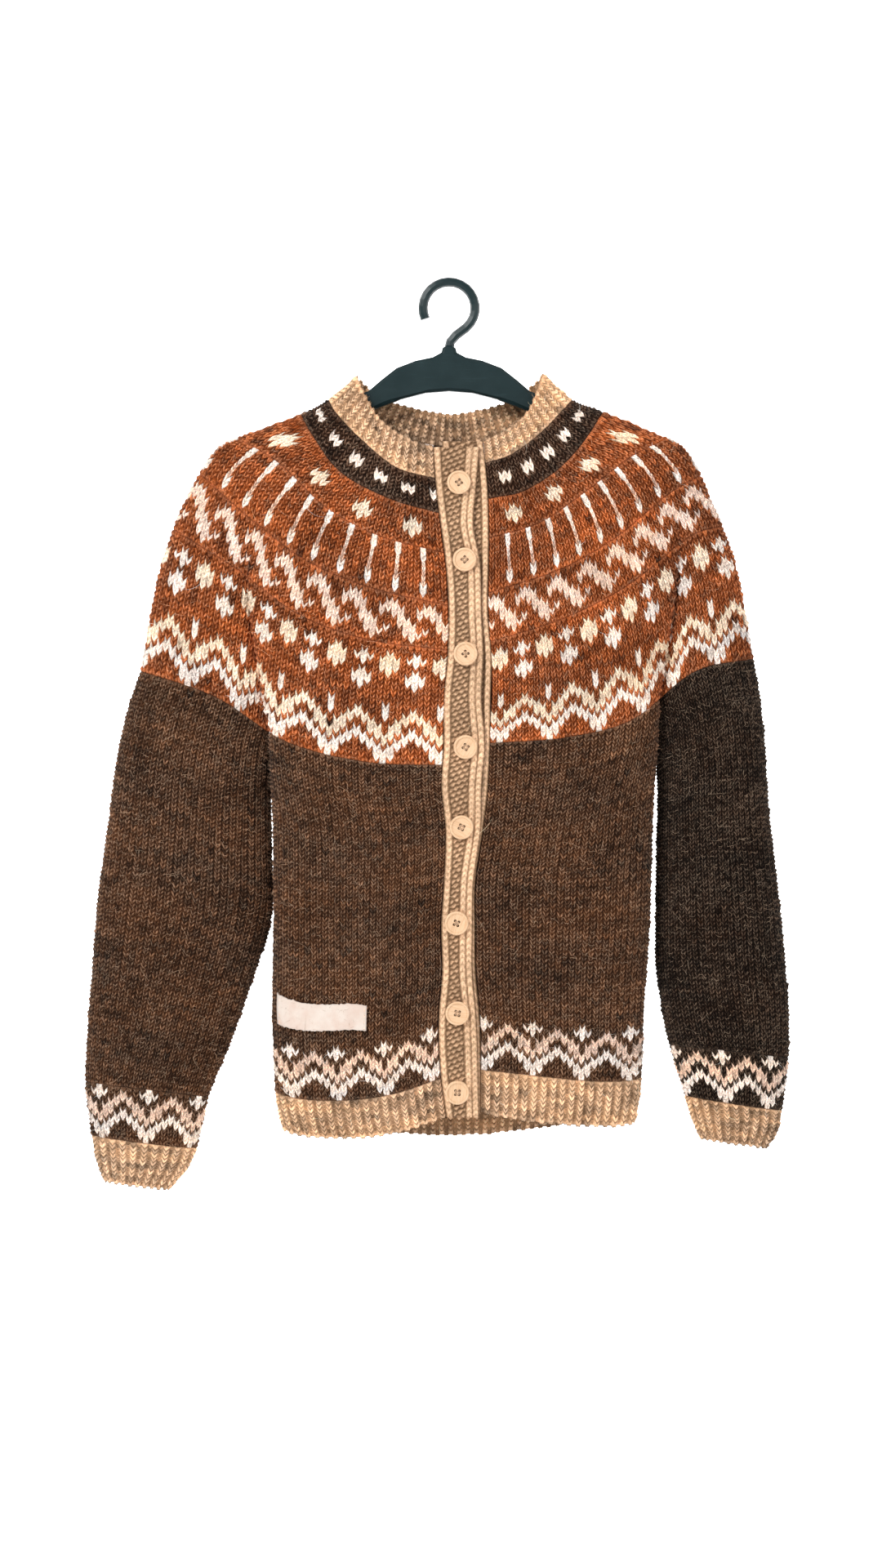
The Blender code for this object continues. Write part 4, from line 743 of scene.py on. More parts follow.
def knit(piece, lines, count, pattern, closed, colour_rows, relief, seed, edge=None):
    """Add a closed wall of knitting.

    lines holds two lines of points for each row, and one more at the top; each line has
    the points of stitch_points. colour_rows has two colours for each stitch of a row.
    edge is the line of a bound-off edge, 0 or -1; such a piece shows stitches inside too.
    """
    heights, leans = stitch_points(count, pattern, closed)[1:]
    total, across = lines.shape[:2]
    number = np.arange(total)
    per = len(pattern["points"])
    owner = np.minimum(np.arange(across) // per, count - 1)
    rng = np.random.default_rng(seed)
    onward = np.roll(lines, -1, axis=1)
    sideways = onward - np.roll(lines, 1, axis=1) if closed else np.gradient(lines, axis=1)
    normals = unit(np.cross(np.gradient(lines, axis=0), sideways))

    # where the legs lean and stray
    fade = np.clip(np.minimum(number, number[::-1]) * SEAM_FADE, 0.0, 1.0)[:, None]
    lean = (leans * fade * 2.0)[..., None]
    up = np.concatenate([lines[1:], lines[-1:] * 2.0 - lines[-2:-1]]) - lines
    down = np.concatenate([lines[:1] * 2.0 - lines[1:2], lines[:-1]]) - lines
    step = np.where(lean > 0.0, up * lean, down * -lean)
    sway = np.cumsum(rng.normal(0.0, SWAY, (total, count)), axis=0)
    sway = np.clip(sway - sway.mean(axis=0), -MOST_SWAY, MOST_SWAY) * fade
    onward = onward - lines
    onward[:, -1] = onward[:, -2]
    step = step + onward * sway[:, owner][..., None]
    lift = rng.normal(0.0, ROW_WOBBLE, (total // 2 + 1, count))[number // 2][:, owner]
    step = step + up * (lift * fade)[..., None]
    if edge is not None:
        puff = np.clip(heights, -0.3, 1.0) * EDGE_SCALLOP + rng.normal(0.0, 0.12, count)[owner]
        step[edge] += (up if edge else down)[edge] * puff[:, None]

    # how high they stand, and the painted shade that darkens the gaps between them
    crest = (number % 2)[:, None]
    stray = rng.normal(0.0, YARN_WOBBLE, (total // 2 + 1, count))[number // 2][:, owner]
    height = relief * (heights * (1.0 + stray) + pattern["crest"] * (crest - 0.5))
    outer = lines + step + normals * (height - 0.5 * relief)[..., None]
    level = (heights - heights.min()) / (heights.max() - heights.min())
    depth = blend(pattern["floor"], 1.0, level) * blend(pattern["dip"], 1.0, crest)
    depth = np.clip(blend(SEAM_SHADE, depth * (1.0 + 0.5 * stray), fade), 0.0, 1.3)

    # the inside: plain and coarse, or with the stitches of a rib's other face
    if edge is None:
        pale = smoothstep((colour_rows.mean(axis=(2, 3)) - 0.3) / 0.3)
        pale = pale[np.minimum(number // 2, len(pale) - 1)][:, owner]
        # pale yarn fills its gaps, so their painted shade is lighter
        depth = depth + pale * PALE_FILL * (1.0 - depth)
        outer = outer + normals * (pale * PALE_SWELL * fade)[..., None]
        inner = lines - normals * WALL_INNER
        inside_depth = np.where(rng.random((total, across)) < 0.5, 0.3, 0.6)
    else:
        sunk = WALL_INNER - relief - height + 2.0 * relief * (crest - 0.5)
        inner = lines + step - normals * sunk[..., None]
        # painted shade in the gaps of the rib's other face
        inside_depth = (1.0 - 0.66 * level) * (0.45 + 0.55 * crest)
    row_step, column_step = (INNER_ROWS, INNER_COLUMNS) if edge is None else (1, 1)
    inner_rows = sorted({*range(0, total, row_step), total - 1})
    inner_columns = list(range(0, across if closed else across - 1, column_step))
    if not closed:
        inner_columns.append(across - 1)
    picked = np.ix_(inner_rows, inner_columns)
    inner, inside_depth = inner[picked], inside_depth[picked]

    def tint(rows, columns):
        """The colours of the faces over some lines and right of some points."""
        rows, columns = np.array(rows)[:, None], np.array(columns)
        stitch = np.minimum(columns // per, count - 1)
        half = np.where((columns % per == 0) | (columns % per == per - 1), 0, 1)
        rows = np.minimum(rows // 2, len(colour_rows) - 1)
        return colour_rows[rows, stitch, half].reshape(-1, 3)

    grid = number[:, None] * across + np.arange(across)
    inside = total * across + np.arange(inside_depth.size).reshape(inside_depth.shape)
    columns = range(across if closed else across - 1)
    starts = inner_columns if closed else inner_columns[:-1]
    faces = [*quads(grid, closed)[:, [0, 3, 2, 1]].tolist(), *quads(inside, closed).tolist()]
    colours = [tint(range(total - 1), columns), tint(inner_rows[:-1], starts) * 0.85]
    wrap = [0] if closed else []
    for at, row in ((0, 0), (-1, total - 1)):
        outer_edge, inner_edge = np.append(grid[row], grid[row, wrap]), inside[at]
        inner_edge = np.append(inner_edge, inner_edge[wrap])
        places = inner_columns + [across] * len(wrap)
        faces += rim(outer_edge, inner_edge, places, row > 0)
        colours.append(tint([row], starts))
    for at, column in ((0, 0), (-1, across - 1)) if not closed else ():
        faces += rim(grid[:, column], inside[:, at], inner_rows, column == 0)
        colours.append(tint(inner_rows[:-1], [column]))
    points = np.concatenate([outer.reshape(-1, 3), inner.reshape(-1, 3)])
    depths = np.concatenate([depth.ravel(), inside_depth.ravel()])
    piece.add(points, faces, np.concatenate(colours), depths)


def stitched_ring(quarter, counts, pattern):
    """One line round the garment from its four quarters, each with its stitches."""
    lines = []
    for (side, back), count in zip(QUARTERS, counts):
        dense = quarter(side, back)
        dense = dense[::-1] if back == (side == "right") else dense
        along = arc_lengths(dense * np.array([1.0, 0.5, 1.0]))   # depth counts half
        line = spaced(dense, stitch_points(count, pattern, False)[0] / count, along)
        lines.append(line if not lines else line[1:])
    return np.concatenate(lines)


def closed_line(dense, count, pattern, side):
    """A closed line with stitches; the left one is turned, so both face outwards."""
    line = spaced(dense, stitch_points(count, pattern, True)[0] / count)
    return line[::-1] if side == "left" else line


def half_rows(rows):
    """Shares of the way up for the two lines of each row, and one more at the top."""
    return np.arange(2 * rows + 1) / (2.0 * rows)


def even_rows(lines, rows, first, end):
    """Rows first to end of a grid of lines that has so many rows in all.

    Rows are even from the bottom; what is left of each column's length is taken up
    little by little towards the top.
    """
    share = first / rows + np.arange(2 * (end - first) + 1) / (2.0 * rows)
    made = []
    for column in range(lines.shape[1]):
        along = arc_lengths(lines[:, column])
        start = min(1.5, max(0.6, BORDER_ROW * rows / along[-1]))
        places = share * start + share * share * (1.0 - start)
        made.append(spaced(lines[:, column], places, along))
    return np.stack(made, axis=1)


# ================================================================ button bands
def band_relief(across, width, z, chains):
    """Height of a band: chains along its edges and slanting wavy ridges between them."""
    relief = np.zeros(len(across))
    places = [(CHAIN_REACH, 1.0)]
    places += [(width - CHAIN_REACH - CHAIN_APART * index, -1.0) for index in range(chains)]
    for place, turn in places:
        off = across - place
        link = z / CHAIN_PITCH - turn * np.abs(off) / 4.6 + 0.3 * place
        link = 1.0 - 0.28 * np.exp(-(off / 0.8) ** 2) + 0.26 * np.cos(2.0 * math.pi * link)
        relief = np.maximum(relief, np.exp(-(off / 2.3) ** 4) * link)
    low, high = 6.0, width - 6.0 - 5.2 * (chains - 1)
    inside = smoothstep((across - low) / 1.6) * smoothstep((high - across) / 1.6)
    row = (z - RIDGE_SLOPE * across) / RIDGE_PITCH
    turn = np.cos(2.0 * math.pi * across / RIDGE_WAVE + math.pi * np.floor(row))
    ridge = 0.5 + 0.5 * np.cos(2.0 * math.pi * (row + 0.16 * turn))
    return relief + inside * ridge * (0.66 + 0.22 * turn)


def band_piece(name, side):
    """One button band as a closed wall; the right front's lies on top."""
    upper = side == "right"
    top = half_ring(side, False, NECKBAND_TOP_ROW)[0][0][2]
    low = welt_height(side, False, 0.0, "end")
    rng = np.random.default_rng(23 if upper else 29)
    outer, inner, depth = [], [], []
    for z in np.arange(float(low), float(top), BAND_STEP):
        base = -float(depth_at(False, z))
        start = band_edge("right", z) + (BAND_SEAM if upper else UNDERLAP_START)
        end = float(table(BANDS, z, FREE_EDGE)) if upper else band_edge("left", z) - BAND_SEAM
        across = np.linspace(0.0, end - start, BAND_POINTS)
        relief = band_relief(across, end - start, z, 2 if upper else 1)
        ends = np.clip(np.minimum(across, across[::-1]) / 1.2, 0.0, 1.0)
        lift = BAND_LIFT * smoothstep(across / LIFT_WIDTH) if upper else np.zeros(BAND_POINTS)
        face = base - lift - BAND_RELIEF * relief * ends + rng.normal(0.0, 0.06, BAND_POINTS)
        level = np.full(BAND_POINTS, z)
        outer.append(np.stack([start + across, face + 0.35, level], axis=1))
        inner.append(np.stack([start + across, base - lift + WALL_INNER, level], axis=1))
        # painted shade: darker in the band's grooves and along its long edges
        depth.append(np.clip(0.05 + relief, 0.0, 1.0) ** 1.3 * (0.5 + 0.5 * ends))
    return wall_piece(name, outer, inner, depth, palette()["tan"] * BAND_TONE, rib_wool())


def wall_piece(name, outer, inner, depth, colour, material):
    """A closed wall between a grid of outer points and one of inner points."""
    outer, inner, depth = np.array(outer), np.array(inner), np.array(depth)
    total = depth.size
    grid = np.arange(total).reshape(depth.shape)
    front = quads(grid)
    faces = [*front, *(front[:, ::-1] + total)]
    edges = ((grid[0], True), (grid[-1], False), (grid[:, 0], False), (grid[:, -1], True))
    for edge, turned in edges:
        faces += rim(edge, edge + total, range(len(edge)), turned)
    noise = np.random.default_rng(total).normal(0.0, 0.03, (len(faces), 1))
    piece = Knitting()
    points = np.concatenate([outer.reshape(-1, 3), inner.reshape(-1, 3)])
    # each point's height also sets its painted shade; the inner face gets a fixed one
    depths = np.concatenate([depth.ravel(), np.full(total, 0.6)])
    piece.add(points, faces, colour * (1.0 + noise), depths)
    return piece.build(name, material)


# ================================================================ small parts
def button_mesh(material):
    """A turned button with a raised rim, a dished middle and four holes."""
    half = BUTTON_THICKNESS / 2
    rim_start = BUTTON_RADIUS - BUTTON_RIM
    floor = half - DISH_DEPTH
    profile = [
        (0.01, floor), (3.0, floor), (rim_start - 0.5, floor), (rim_start - 0.1, floor + 0.15),
        (rim_start + 0.4, half - 0.12), (BUTTON_RADIUS - 1.0, half),
        (BUTTON_RADIUS - 0.45, half - 0.15), (BUTTON_RADIUS - 0.1, half - 0.6),
        (BUTTON_RADIUS, half - 1.3), (BUTTON_RADIUS - 0.15, 1.0 - half),
        (BUTTON_RADIUS - 1.2, 0.1 - half), (BUTTON_RADIUS - 2.2, -half), (0.01, -half),
    ]
    turns = [2.0 * math.pi * step / BUTTON_SIDES for step in range(BUTTON_SIDES)]
    turned, pins = bmesh.new(), bmesh.new()
    rings = [[
        turned.verts.new((
            radius * math.cos(turn) * MM, radius * math.sin(turn) * MM, height * MM,
        )) for turn in turns
    ] for radius, height in profile]
    for upper, lower in zip(rings[:-1], rings[1:]):
        for step in range(BUTTON_SIDES):
            after = (step + 1) % BUTTON_SIDES
            turned.faces.new((upper[step], lower[step], lower[after], upper[after]))
    turned.faces.new(rings[0])
    turned.faces.new(rings[-1][::-1])
    for across in (-0.5, 0.5):
        for along in (-0.5, 0.5):
            pin = bmesh.ops.create_cone(
                pins, cap_ends=True, segments=16, radius1=HOLE_RADIUS * MM,
                radius2=HOLE_RADIUS * MM, depth=12 * MM,
            )
            place = (across * HOLE_PITCH * MM, along * HOLE_PITCH * MM, 0.0)
            bmesh.ops.translate(pins, verts=pin["verts"], vec=place)
    items = []
    for name, shape in (("button_blank", turned), ("button_pins", pins)):
        mesh = bpy.data.meshes.new(name)
        shape.to_mesh(mesh)
        shape.free()
        items.append(link_item(name, mesh))
    cut = items[0].modifiers.new("holes", "BOOLEAN")
    cut.operation = "DIFFERENCE"
    cut.solver = "EXACT"
    cut.object = items[1]
    bpy.context.view_layer.update()
    blank = items[0].evaluated_get(bpy.context.evaluated_depsgraph_get())
    pierced = bpy.data.meshes.new_from_object(blank)
    for item in items:
        bpy.data.objects.remove(item, do_unlink=True)
    pierced.materials.clear()
    pierced.materials.append(material)
    pierced.shade_smooth()
    pierced.set_sharp_from_angle(angle=math.radians(BUTTON_EDGE))
    return pierced


def thread_strands(turn):
    """A button's sewing thread: strands between its holes, crossed on every third one."""
    reach = HOLE_PITCH / 2
    corners = [(-reach, -reach), (reach, -reach), (reach, reach), (-reach, reach)]
    pairs = [(0, 1), (2, 3), (0, 3), (1, 2)] if turn % 3 else [(0, 2), (1, 3)]
    low = BUTTON_THICKNESS / 2 - DISH_DEPTH - 1.2
    share = even(8)[:, None]
    strands = []
    for order, (first, second) in enumerate(pairs):
        start, end = [np.array([*corners[corner], low]) for corner in (first, second)]
        line = start + (end - start) * share
        line[:, 2] += 1.75 * np.sqrt(np.sin(math.pi * share[:, 0]).clip(0.0)) + 0.1 * (order % 2)
        strands.append(line)
    return strands


def add_tube(piece, line, radius, colour, sides=6):
    """Add a tube along a line of points."""
    tangent = unit(np.gradient(line, axis=0))
    helper = [0.0, 0.0, 1.0] if abs(tangent[:, 2]).mean() < 0.8 else [1.0, 0.0, 0.0]
    first = unit(np.cross(tangent, helper))[:, None]
    second = np.cross(tangent, first[:, 0])[:, None]
    angles = np.linspace(0.0, 2.0 * math.pi, sides, endpoint=False)[None, :, None]
    rings = line[:, None] + radius * (first * np.cos(angles) + second * np.sin(angles))
    faces = quads(np.arange(len(line) * sides).reshape(len(line), sides), closed=True)
    colours = np.tile(colour, (len(faces), 1))
    piece.add(rings.reshape(-1, 3), faces, colours, np.ones(len(line) * sides))


def label_ground():
    """A function that gives the right front's point and outward normal at x and z."""
    quarter = BodyQuarter("right", False)
    lines = np.array([quarter.at(down) for down in np.linspace(0.3, 1.0, 160)])

    def ground(x, z):
        gap = np.linalg.norm(lines[:, :, [0, 2]] - np.array([x, z]), axis=2)
        gap = gap + 0.4 * np.maximum(0.0, lines[:, :, 1] + 8.0)
        row, column = np.unravel_index(np.argmin(gap), gap.shape)
        row = min(max(row, 1), len(lines) - 2)
        column = min(max(column, 1), lines.shape[1] - 2)
        along = lines[row, column + 1] - lines[row, column - 1]
        normal = unit(np.cross(lines[row - 1, column] - lines[row + 1, column], along))
        point = lines[row, column].copy()
        offset = np.array([x - point[0], 0.0, z - point[2]])
        point += offset
        point[1] -= (normal[0] * offset[0] + normal[2] * offset[2]) / normal[1]
        return point, normal

    return ground


def label_place(s, t):
    """Where the label's point at shares s along and t down lies, seen from the front."""
    corners = np.array(LABEL_CORNERS)
    upper, lower = blend(corners[0], corners[1], s), blend(corners[3], corners[2], s)
    sag = blend(5.0, 3.6, t) * math.sin(math.pi * min(1.0, s * 1.25) ** 0.8)
    return blend(upper, lower, t) - np.array([0.0, sag])


# ================================================================ loose fibres
LONG_HAIRS = 900             # number of long loose hairs
LONG_HAIR = 12.0             # their mean length
FIBRE_HALF = 0.11            # half a fibre's width at its root
FIBRE_LEVEL = 0.7            # fibres grow from yarn that stands higher than this
FIBRE_SHARES = (             # how the fibres are shared out
    ("knit_yoke", 0.27), ("knit_body", 0.31), ("knit_sleeve_right", 0.17),
    ("knit_sleeve_left", 0.15), ("rib_welt", 0.03), ("rib_cuff_right", 0.015),
    ("rib_cuff_left", 0.015), ("rib_neckband", 0.03), ("band_buttonhole_knit", 0.01),
)


def read_array(data, name, width, kind=np.float32):
    """An array of a property of all elements."""
    values = np.empty(len(data) * width, dtype=kind)
    data.foreach_get(name, values)
    return values.reshape(-1, width) if width > 1 else values


def add_fibres(piece, root, normal, tint, mean, rise, parts, rng):
    """Add thin curved strips that rise from their roots and lie over."""
    count = len(root)
    side = np.cross(normal, rng.normal(size=(count, 3)))
    side /= np.linalg.norm(side, axis=1, keepdims=True)
    length = np.minimum(rng.gamma(4.0, mean / 4.0, count), 1.5 * mean)[:, None, None]
    lift = (normal * rng.uniform(0.2, 1.0, (count, 1)) * rise)[:, None]
    bend = (np.cross(normal, side) * rng.normal(0.0, 0.8, (count, 1)))[:, None]
    share = even(parts)[None, :, None]
    path = (side[:, None] * np.sin(1.3 * share) + bend * share ** 2) * length
    path = root[:, None] + path + lift * (np.sin(2.2 * share) + 0.2 * share)
    flat = np.cross(side, normal + 0.5 * rng.normal(size=(count, 3)))[:, None]
    flat = flat / np.linalg.norm(flat, axis=2, keepdims=True) * FIBRE_HALF * (1.1 - share)
    strips = np.stack([path - flat, path + flat], axis=2)
    base = 2 * (parts + 1) * np.arange(count)[:, None] + 2 * np.arange(parts)[None, :]
    faces = base.reshape(-1, 1) + np.array([[0, 1, 3, 2]])
    tints = np.clip(tint * rng.uniform(1.0, 2.2, (count, 1)) + 0.02, 0.0, 0.95)
    tints = np.repeat(tints, parts, axis=0)
    piece.add(strips.reshape(-1, 3), faces, tints, np.ones(2 * (parts + 1) * count))


# ================================================================ finishes
class Shade:
    """A shader socket that can stand in Python expressions."""

    def __init__(self, finish, socket):
        self.finish = finish
        self.socket = socket

    def maths(self, operation, first, second):
        """A Math node on two values."""
        return self.finish.node("ShaderNodeMath", {"operation": operation}, {0: first, 1: second})

    def __add__(self, other):
        return self.maths("ADD", self, other)

    def __sub__(self, other):
        return self.maths("SUBTRACT", self, other)

    def __rsub__(self, other):
        return self.maths("SUBTRACT", other, self)

    def __mul__(self, other):
        return self.maths("MULTIPLY", self, other)

    __radd__ = __add__
    __rmul__ = __mul__


class Finish:
    """A material of this garment."""

    def __init__(self, name, **fixed):
        self.material = bpy.data.materials.new(name)
        self.material.use_nodes = True
        self.tree = self.material.node_tree
        self.shader = self.tree.nodes["Principled BSDF"]
        for key, value in fixed.items():
            self.shader.inputs[key.replace("_", " ")].default_value = value

    def node(self, kind, settings=None, sockets=None, output=0):
        """Add a node: its settings first, then values or links for its sockets."""
        made = self.tree.nodes.new(kind)
        for key, value in (settings or {}).items():
            setattr(made, key, value)
        for key, value in (sockets or {}).items():
            if isinstance(value, Shade):
                self.tree.links.new(value.socket, made.inputs[key])
            else:
                made.inputs[key].default_value = value
        return Shade(self, made.outputs[output])

    def noise(self, scale, detail=3.0, stretch=(1.0, 1.0, 1.0)):
        """Fractal noise between 0 and 1, in the object's metres times a stretch for each axis."""
        place = self.node("ShaderNodeTexCoord", output="Object")
        place = self.node("ShaderNodeVectorMath", {"operation": "MULTIPLY"}, {0: place, 1: stretch})
        sockets = {"Vector": place, "Scale": scale, "Detail": detail, "Roughness": 0.6}
        return self.node("ShaderNodeTexNoise", sockets=sockets)

    def stored(self, name, output="Fac"):
        """A value stored on the mesh."""
        return self.node("ShaderNodeAttribute", {"attribute_name": name}, output=output)

    def stretch(self, value, low, high, start=0.0, end=1.0):
        """Move the range from low to high on to the range from start to end."""
        sockets = {
            "Value": value, "From Min": low, "From Max": high, "To Min": start, "To Max": end,
        }
        return self.node("ShaderNodeMapRange", {"clamp": True}, sockets)

    def mix(self, factor, first, second):
        """Mix two colours."""
        first, second = [
            colour if isinstance(colour, Shade) else (*[float(part) for part in colour], 1.0)
            for colour in (first, second)
        ]
        settings = {"data_type": "RGBA", "clamp_factor": False}
        return self.node("ShaderNodeMix", settings, {0: factor, 6: first, 7: second}, output=2)

    def done(self, colour, height=None, distance=0.0005, strength=1.0, roughness=None):
        """Link the colour, the bump and the roughness to the shader."""
        links = {"Base Color": colour, "Roughness": roughness}
        if height is not None:
            sockets = {"Height": height, "Distance": distance, "Strength": strength}
            links["Normal"] = self.node("ShaderNodeBump", sockets=sockets)
        for name, shade in links.items():
            if shade is not None:
                self.tree.links.new(shade.socket, self.shader.inputs[name])
        return self.material


def wool_finish(name, flecks):
    """Heathered wool: the stitch's own colour with painted shade between the legs and painted
    highlights on them, with flecks and hairs.
    """
    wool = Finish(
        name, Roughness=0.95, Sheen_Weight=0.03, Sheen_Roughness=0.5, Specular_IOR_Level=0.08,
    )
    height = wool.stored("yarn_height")
    fleck, fine = wool.noise(900.0, 4.0), wool.noise(3200.0, 2.0)
    broad, clump = wool.noise(22.0, 3.0), wool.noise(260.0, 3.0)
    mottled = wool.stretch(fleck, 0.30, 0.72, 1.0 - 0.60 * flecks, 1.0 + 0.85 * flecks)
    mottled = mottled * wool.stretch(clump, 0.32, 0.68, 1.0 - 0.34 * flecks, 1.0 + 0.38 * flecks)
    # painted shade in the gaps and painted highlight on the legs, from the stored height, times the
    # wool's own flecks
    painted_shading_tone = (0.24 + 1.45 * height) * mottled * (0.70 + 0.60 * fine)
    painted_shading_tone = painted_shading_tone * wool.stretch(broad, 0.3, 0.7, 0.80, 1.20)
    # painted shade also makes the gaps' colour deeper and more saturated
    yarn = {"Color": wool.stored("yarn_colour", "Color"), "Gamma": 1.40 - 0.35 * height}
    colour = wool.mix(painted_shading_tone, (0.0, 0.0, 0.0), wool.node("ShaderNodeGamma", sockets=yarn))
    hairs = wool.stretch(wool.noise(1700.0, 5.0), 0.60, 0.74, 0.0, 0.22 * flecks)
    # painted highlight: the brightest legs go paler
    painted_highlight = wool.stretch(painted_shading_tone, 0.7, 2.0, 0.0, 0.16)
    colour = wool.mix(hairs + painted_highlight, colour, (0.62, 0.47, 0.35))
    return wool.done(colour, 0.6 * fleck + 0.4 * fine, 0.0008, 0.9)


def fibre_finish():
    """Loose fibres in the colour of their stitch."""
    fibre = Finish("wool_fibre", Roughness=0.8, Specular_IOR_Level=0.2)
    light = fibre.stretch(fibre.noise(400.0), 0.3, 0.7, 0.10, 0.50)
    return fibre.done(fibre.mix(light, fibre.stored("yarn_colour", "Color"), (0.80, 0.60, 0.42)))


def tape_finish():
    """Woven tape: a fine weave across and along, with a blush."""
    tape = Finish("woven_tape", Roughness=0.75, Sheen_Weight=0.1)
    pale = palette()["tape"]
    warp = tape.noise(1.0, 1.0, (2600.0, 2600.0, 420.0))
    weft = tape.noise(1.0, 1.0, (420.0, 420.0, 2600.0))
    blush = tape.stretch(tape.noise(70.0, 3.0), 0.35, 0.68, 0.0, 0.9)
    colour = tape.mix(blush, pale, pale * np.array([0.92, 0.80, 0.76]))
    colour = tape.mix(0.22 * warp, colour, pale * 0.55)
    return tape.done(colour, 0.5 * warp + 0.5 * weft, 0.0004, 0.7)


def wood_finish():
    """Light turned wood with grain, waxed."""
    wood = Finish("turned_wood", Coat_Weight=0.1, Coat_Roughness=0.4)
    light = palette()["wood"]
    grain = wood.noise(1.0, 4.0, (90.0, 1400.0, 420.0))
    pores = wood.noise(1.0, 2.0, (400.0, 5200.0, 2600.0))
    colour = wood.mix(wood.stretch(grain, 0.35, 0.7), light, light * np.array([0.82, 0.72, 0.62]))
    colour = wood.mix(wood.stretch(pores, 0.60, 0.8, 0.0, 0.35), colour, light * 0.3)
    return wood.done(colour, 0.5 * grain + 0.5 * pores, 0.0002, 0.4, 0.42 + 0.2 * grain)


def plastic_finish():
    """Dark moulded plastic with light scuffs."""
    plastic = Finish("moulded_plastic", Specular_IOR_Level=0.3)
    dark = palette()["plastic"]
    cloud = plastic.noise(60.0, 3.0)
    scuff = plastic.stretch(plastic.noise(1.0, 5.0, (60.0, 900.0, 900.0)), 0.6, 0.75)
    colour = plastic.mix(0.6 * cloud, dark, dark * 1.8)
    colour = plastic.mix(scuff * 0.3, colour, dark * 3.0)
    gloss = 0.24 + 0.15 * cloud + 0.15 * scuff
    return plastic.done(colour, plastic.noise(1400.0, 2.0), 0.0001, 0.3, gloss)


def wool():
    """Wool of the plain and the patterned knitting, made once."""
    return bpy.data.materials.get("knit_wool") or wool_finish("knit_wool", 1.0)


def rib_wool():
    """Smoother wool of the ribs, the bands and the sewing thread, made once."""
    return bpy.data.materials.get("rib_wool") or wool_finish("rib_wool", 0.55)


def declare_cloth(item):
    """Attach a piece of cloth to what it rides on and hide the nodes that it stands for."""
    nodes, slot, flat, area = CLOTH[item.name]
    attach(item, ROOT)
    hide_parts(*nodes)


def declare_trim(item):
    """Attach a piece that stands for no node to what it rides on."""
    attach(item, ROOT)


# ================================================================ operators
class CARDIGAN_OT_yoke(bpy.types.Operator):
    """Knit the round yoke with its colourwork"""

    bl_idname = "cardigan.yoke"
    bl_label = "Round yoke"

    def execute(self, context):
        piece = Knitting()
        relief = context.scene.cardigan_sizes.relief / MM
        for first, end, counts, ground, chart, start, direction in YOKE_BANDS:
            rows, count = end - first, sum(counts)
            lines = np.array([
                stitched_ring(lambda *quarter, row=row: half_ring(*quarter, row)[0], counts, KNIT)
                for row in first + np.arange(2 * rows + 1) / 2.0
            ])
            colours = chart_rows(chart, rows, count, ground, 0.37 + first, start, direction)
            knit(piece, lines, count, KNIT, False, colours, relief, 100 + first)
        declare_cloth(piece.build("knit_yoke", wool()))
        return {"FINISHED"}


class CARDIGAN_OT_body(bpy.types.Operator):
    """Knit the plain body with its zigzag border"""

    bl_idname = "cardigan.body"
    bl_label = "Body"

    def execute(self, context):
        sizes = context.scene.cardigan_sizes
        quarters = {key: BodyQuarter(*key) for key in QUARTERS}
        share = sizes.body_stitches / sum(BODY_SHARES)
        counts = [round(part * share) for part in BODY_SHARES]
        rows, count = sizes.body_rows, sum(counts)
        lines = np.array([
            stitched_ring(lambda *key, down=down: quarters[key].at(down), counts, KNIT)
            for down in np.linspace(1.0, 0.0, DENSE_LINES)
        ])
        lines = even_rows(lines, rows, 0, rows)
        piece = Knitting()
        colours = chart_rows(BORDER, rows, count, "brown", 4.1, -BORDER_START)
        knit(piece, lines, count, KNIT, False, colours, sizes.relief / MM, 200)
        declare_cloth(piece.build("knit_body", wool()))
        return {"FINISHED"}


class CARDIGAN_OT_sleeves(bpy.types.Operator):
    """Knit the two plain sleeves with their zigzag borders"""

    bl_idname = "cardigan.sleeves"
    bl_label = "Sleeves"

    def execute(self, context):
        sizes = context.scene.cardigan_sizes
        total, border_rows = sizes.sleeve_rows, len(BORDER)
        for side in COLUMN:
            top = sleeve_head(side)
            shares = arc_lengths(top)
            shares = shares / shares[-1]
            piece = Knitting()
            border, plain = SLEEVE_STITCHES[side]
            start, seam = SLEEVE_START[side]
            parts = ((0, border_rows, border, BORDER), (border_rows, total, plain, []))
            for first, end, count, chart in parts:
                lines = np.array([
                    closed_line(sleeve_line(side, down, top, shares), count, KNIT, side)
                    for down in np.linspace(1.0, 0.0, DENSE_LINES)
                ])
                lines = even_rows(lines, total, first, end)
                colours = chart_rows(
                    chart, end - first, count, "brown", 7.3 + first, start,
                    painted_shading_tone=SLEEVE_PAINTED_SHADE[side], seam=seam,
                )
                knit(piece, lines, count, KNIT, True, colours, sizes.relief / MM, 300 + first)
            declare_cloth(piece.build(f"knit_sleeve_{side}", wool()))
        return {"FINISHED"}


def neck_quarter(side, back, share):
    """A quarter of the neckband's line at a share of the way up."""
    return half_ring(side, back, YOKE_TOP_ROW + share * (NECKBAND_TOP_ROW - YOKE_TOP_ROW))[0]


def raised_welt_quarter(side, back, share):
    """A quarter of the welt's line at a share of the way up."""
    return welt_quarter(side, back, 1.0 - share)


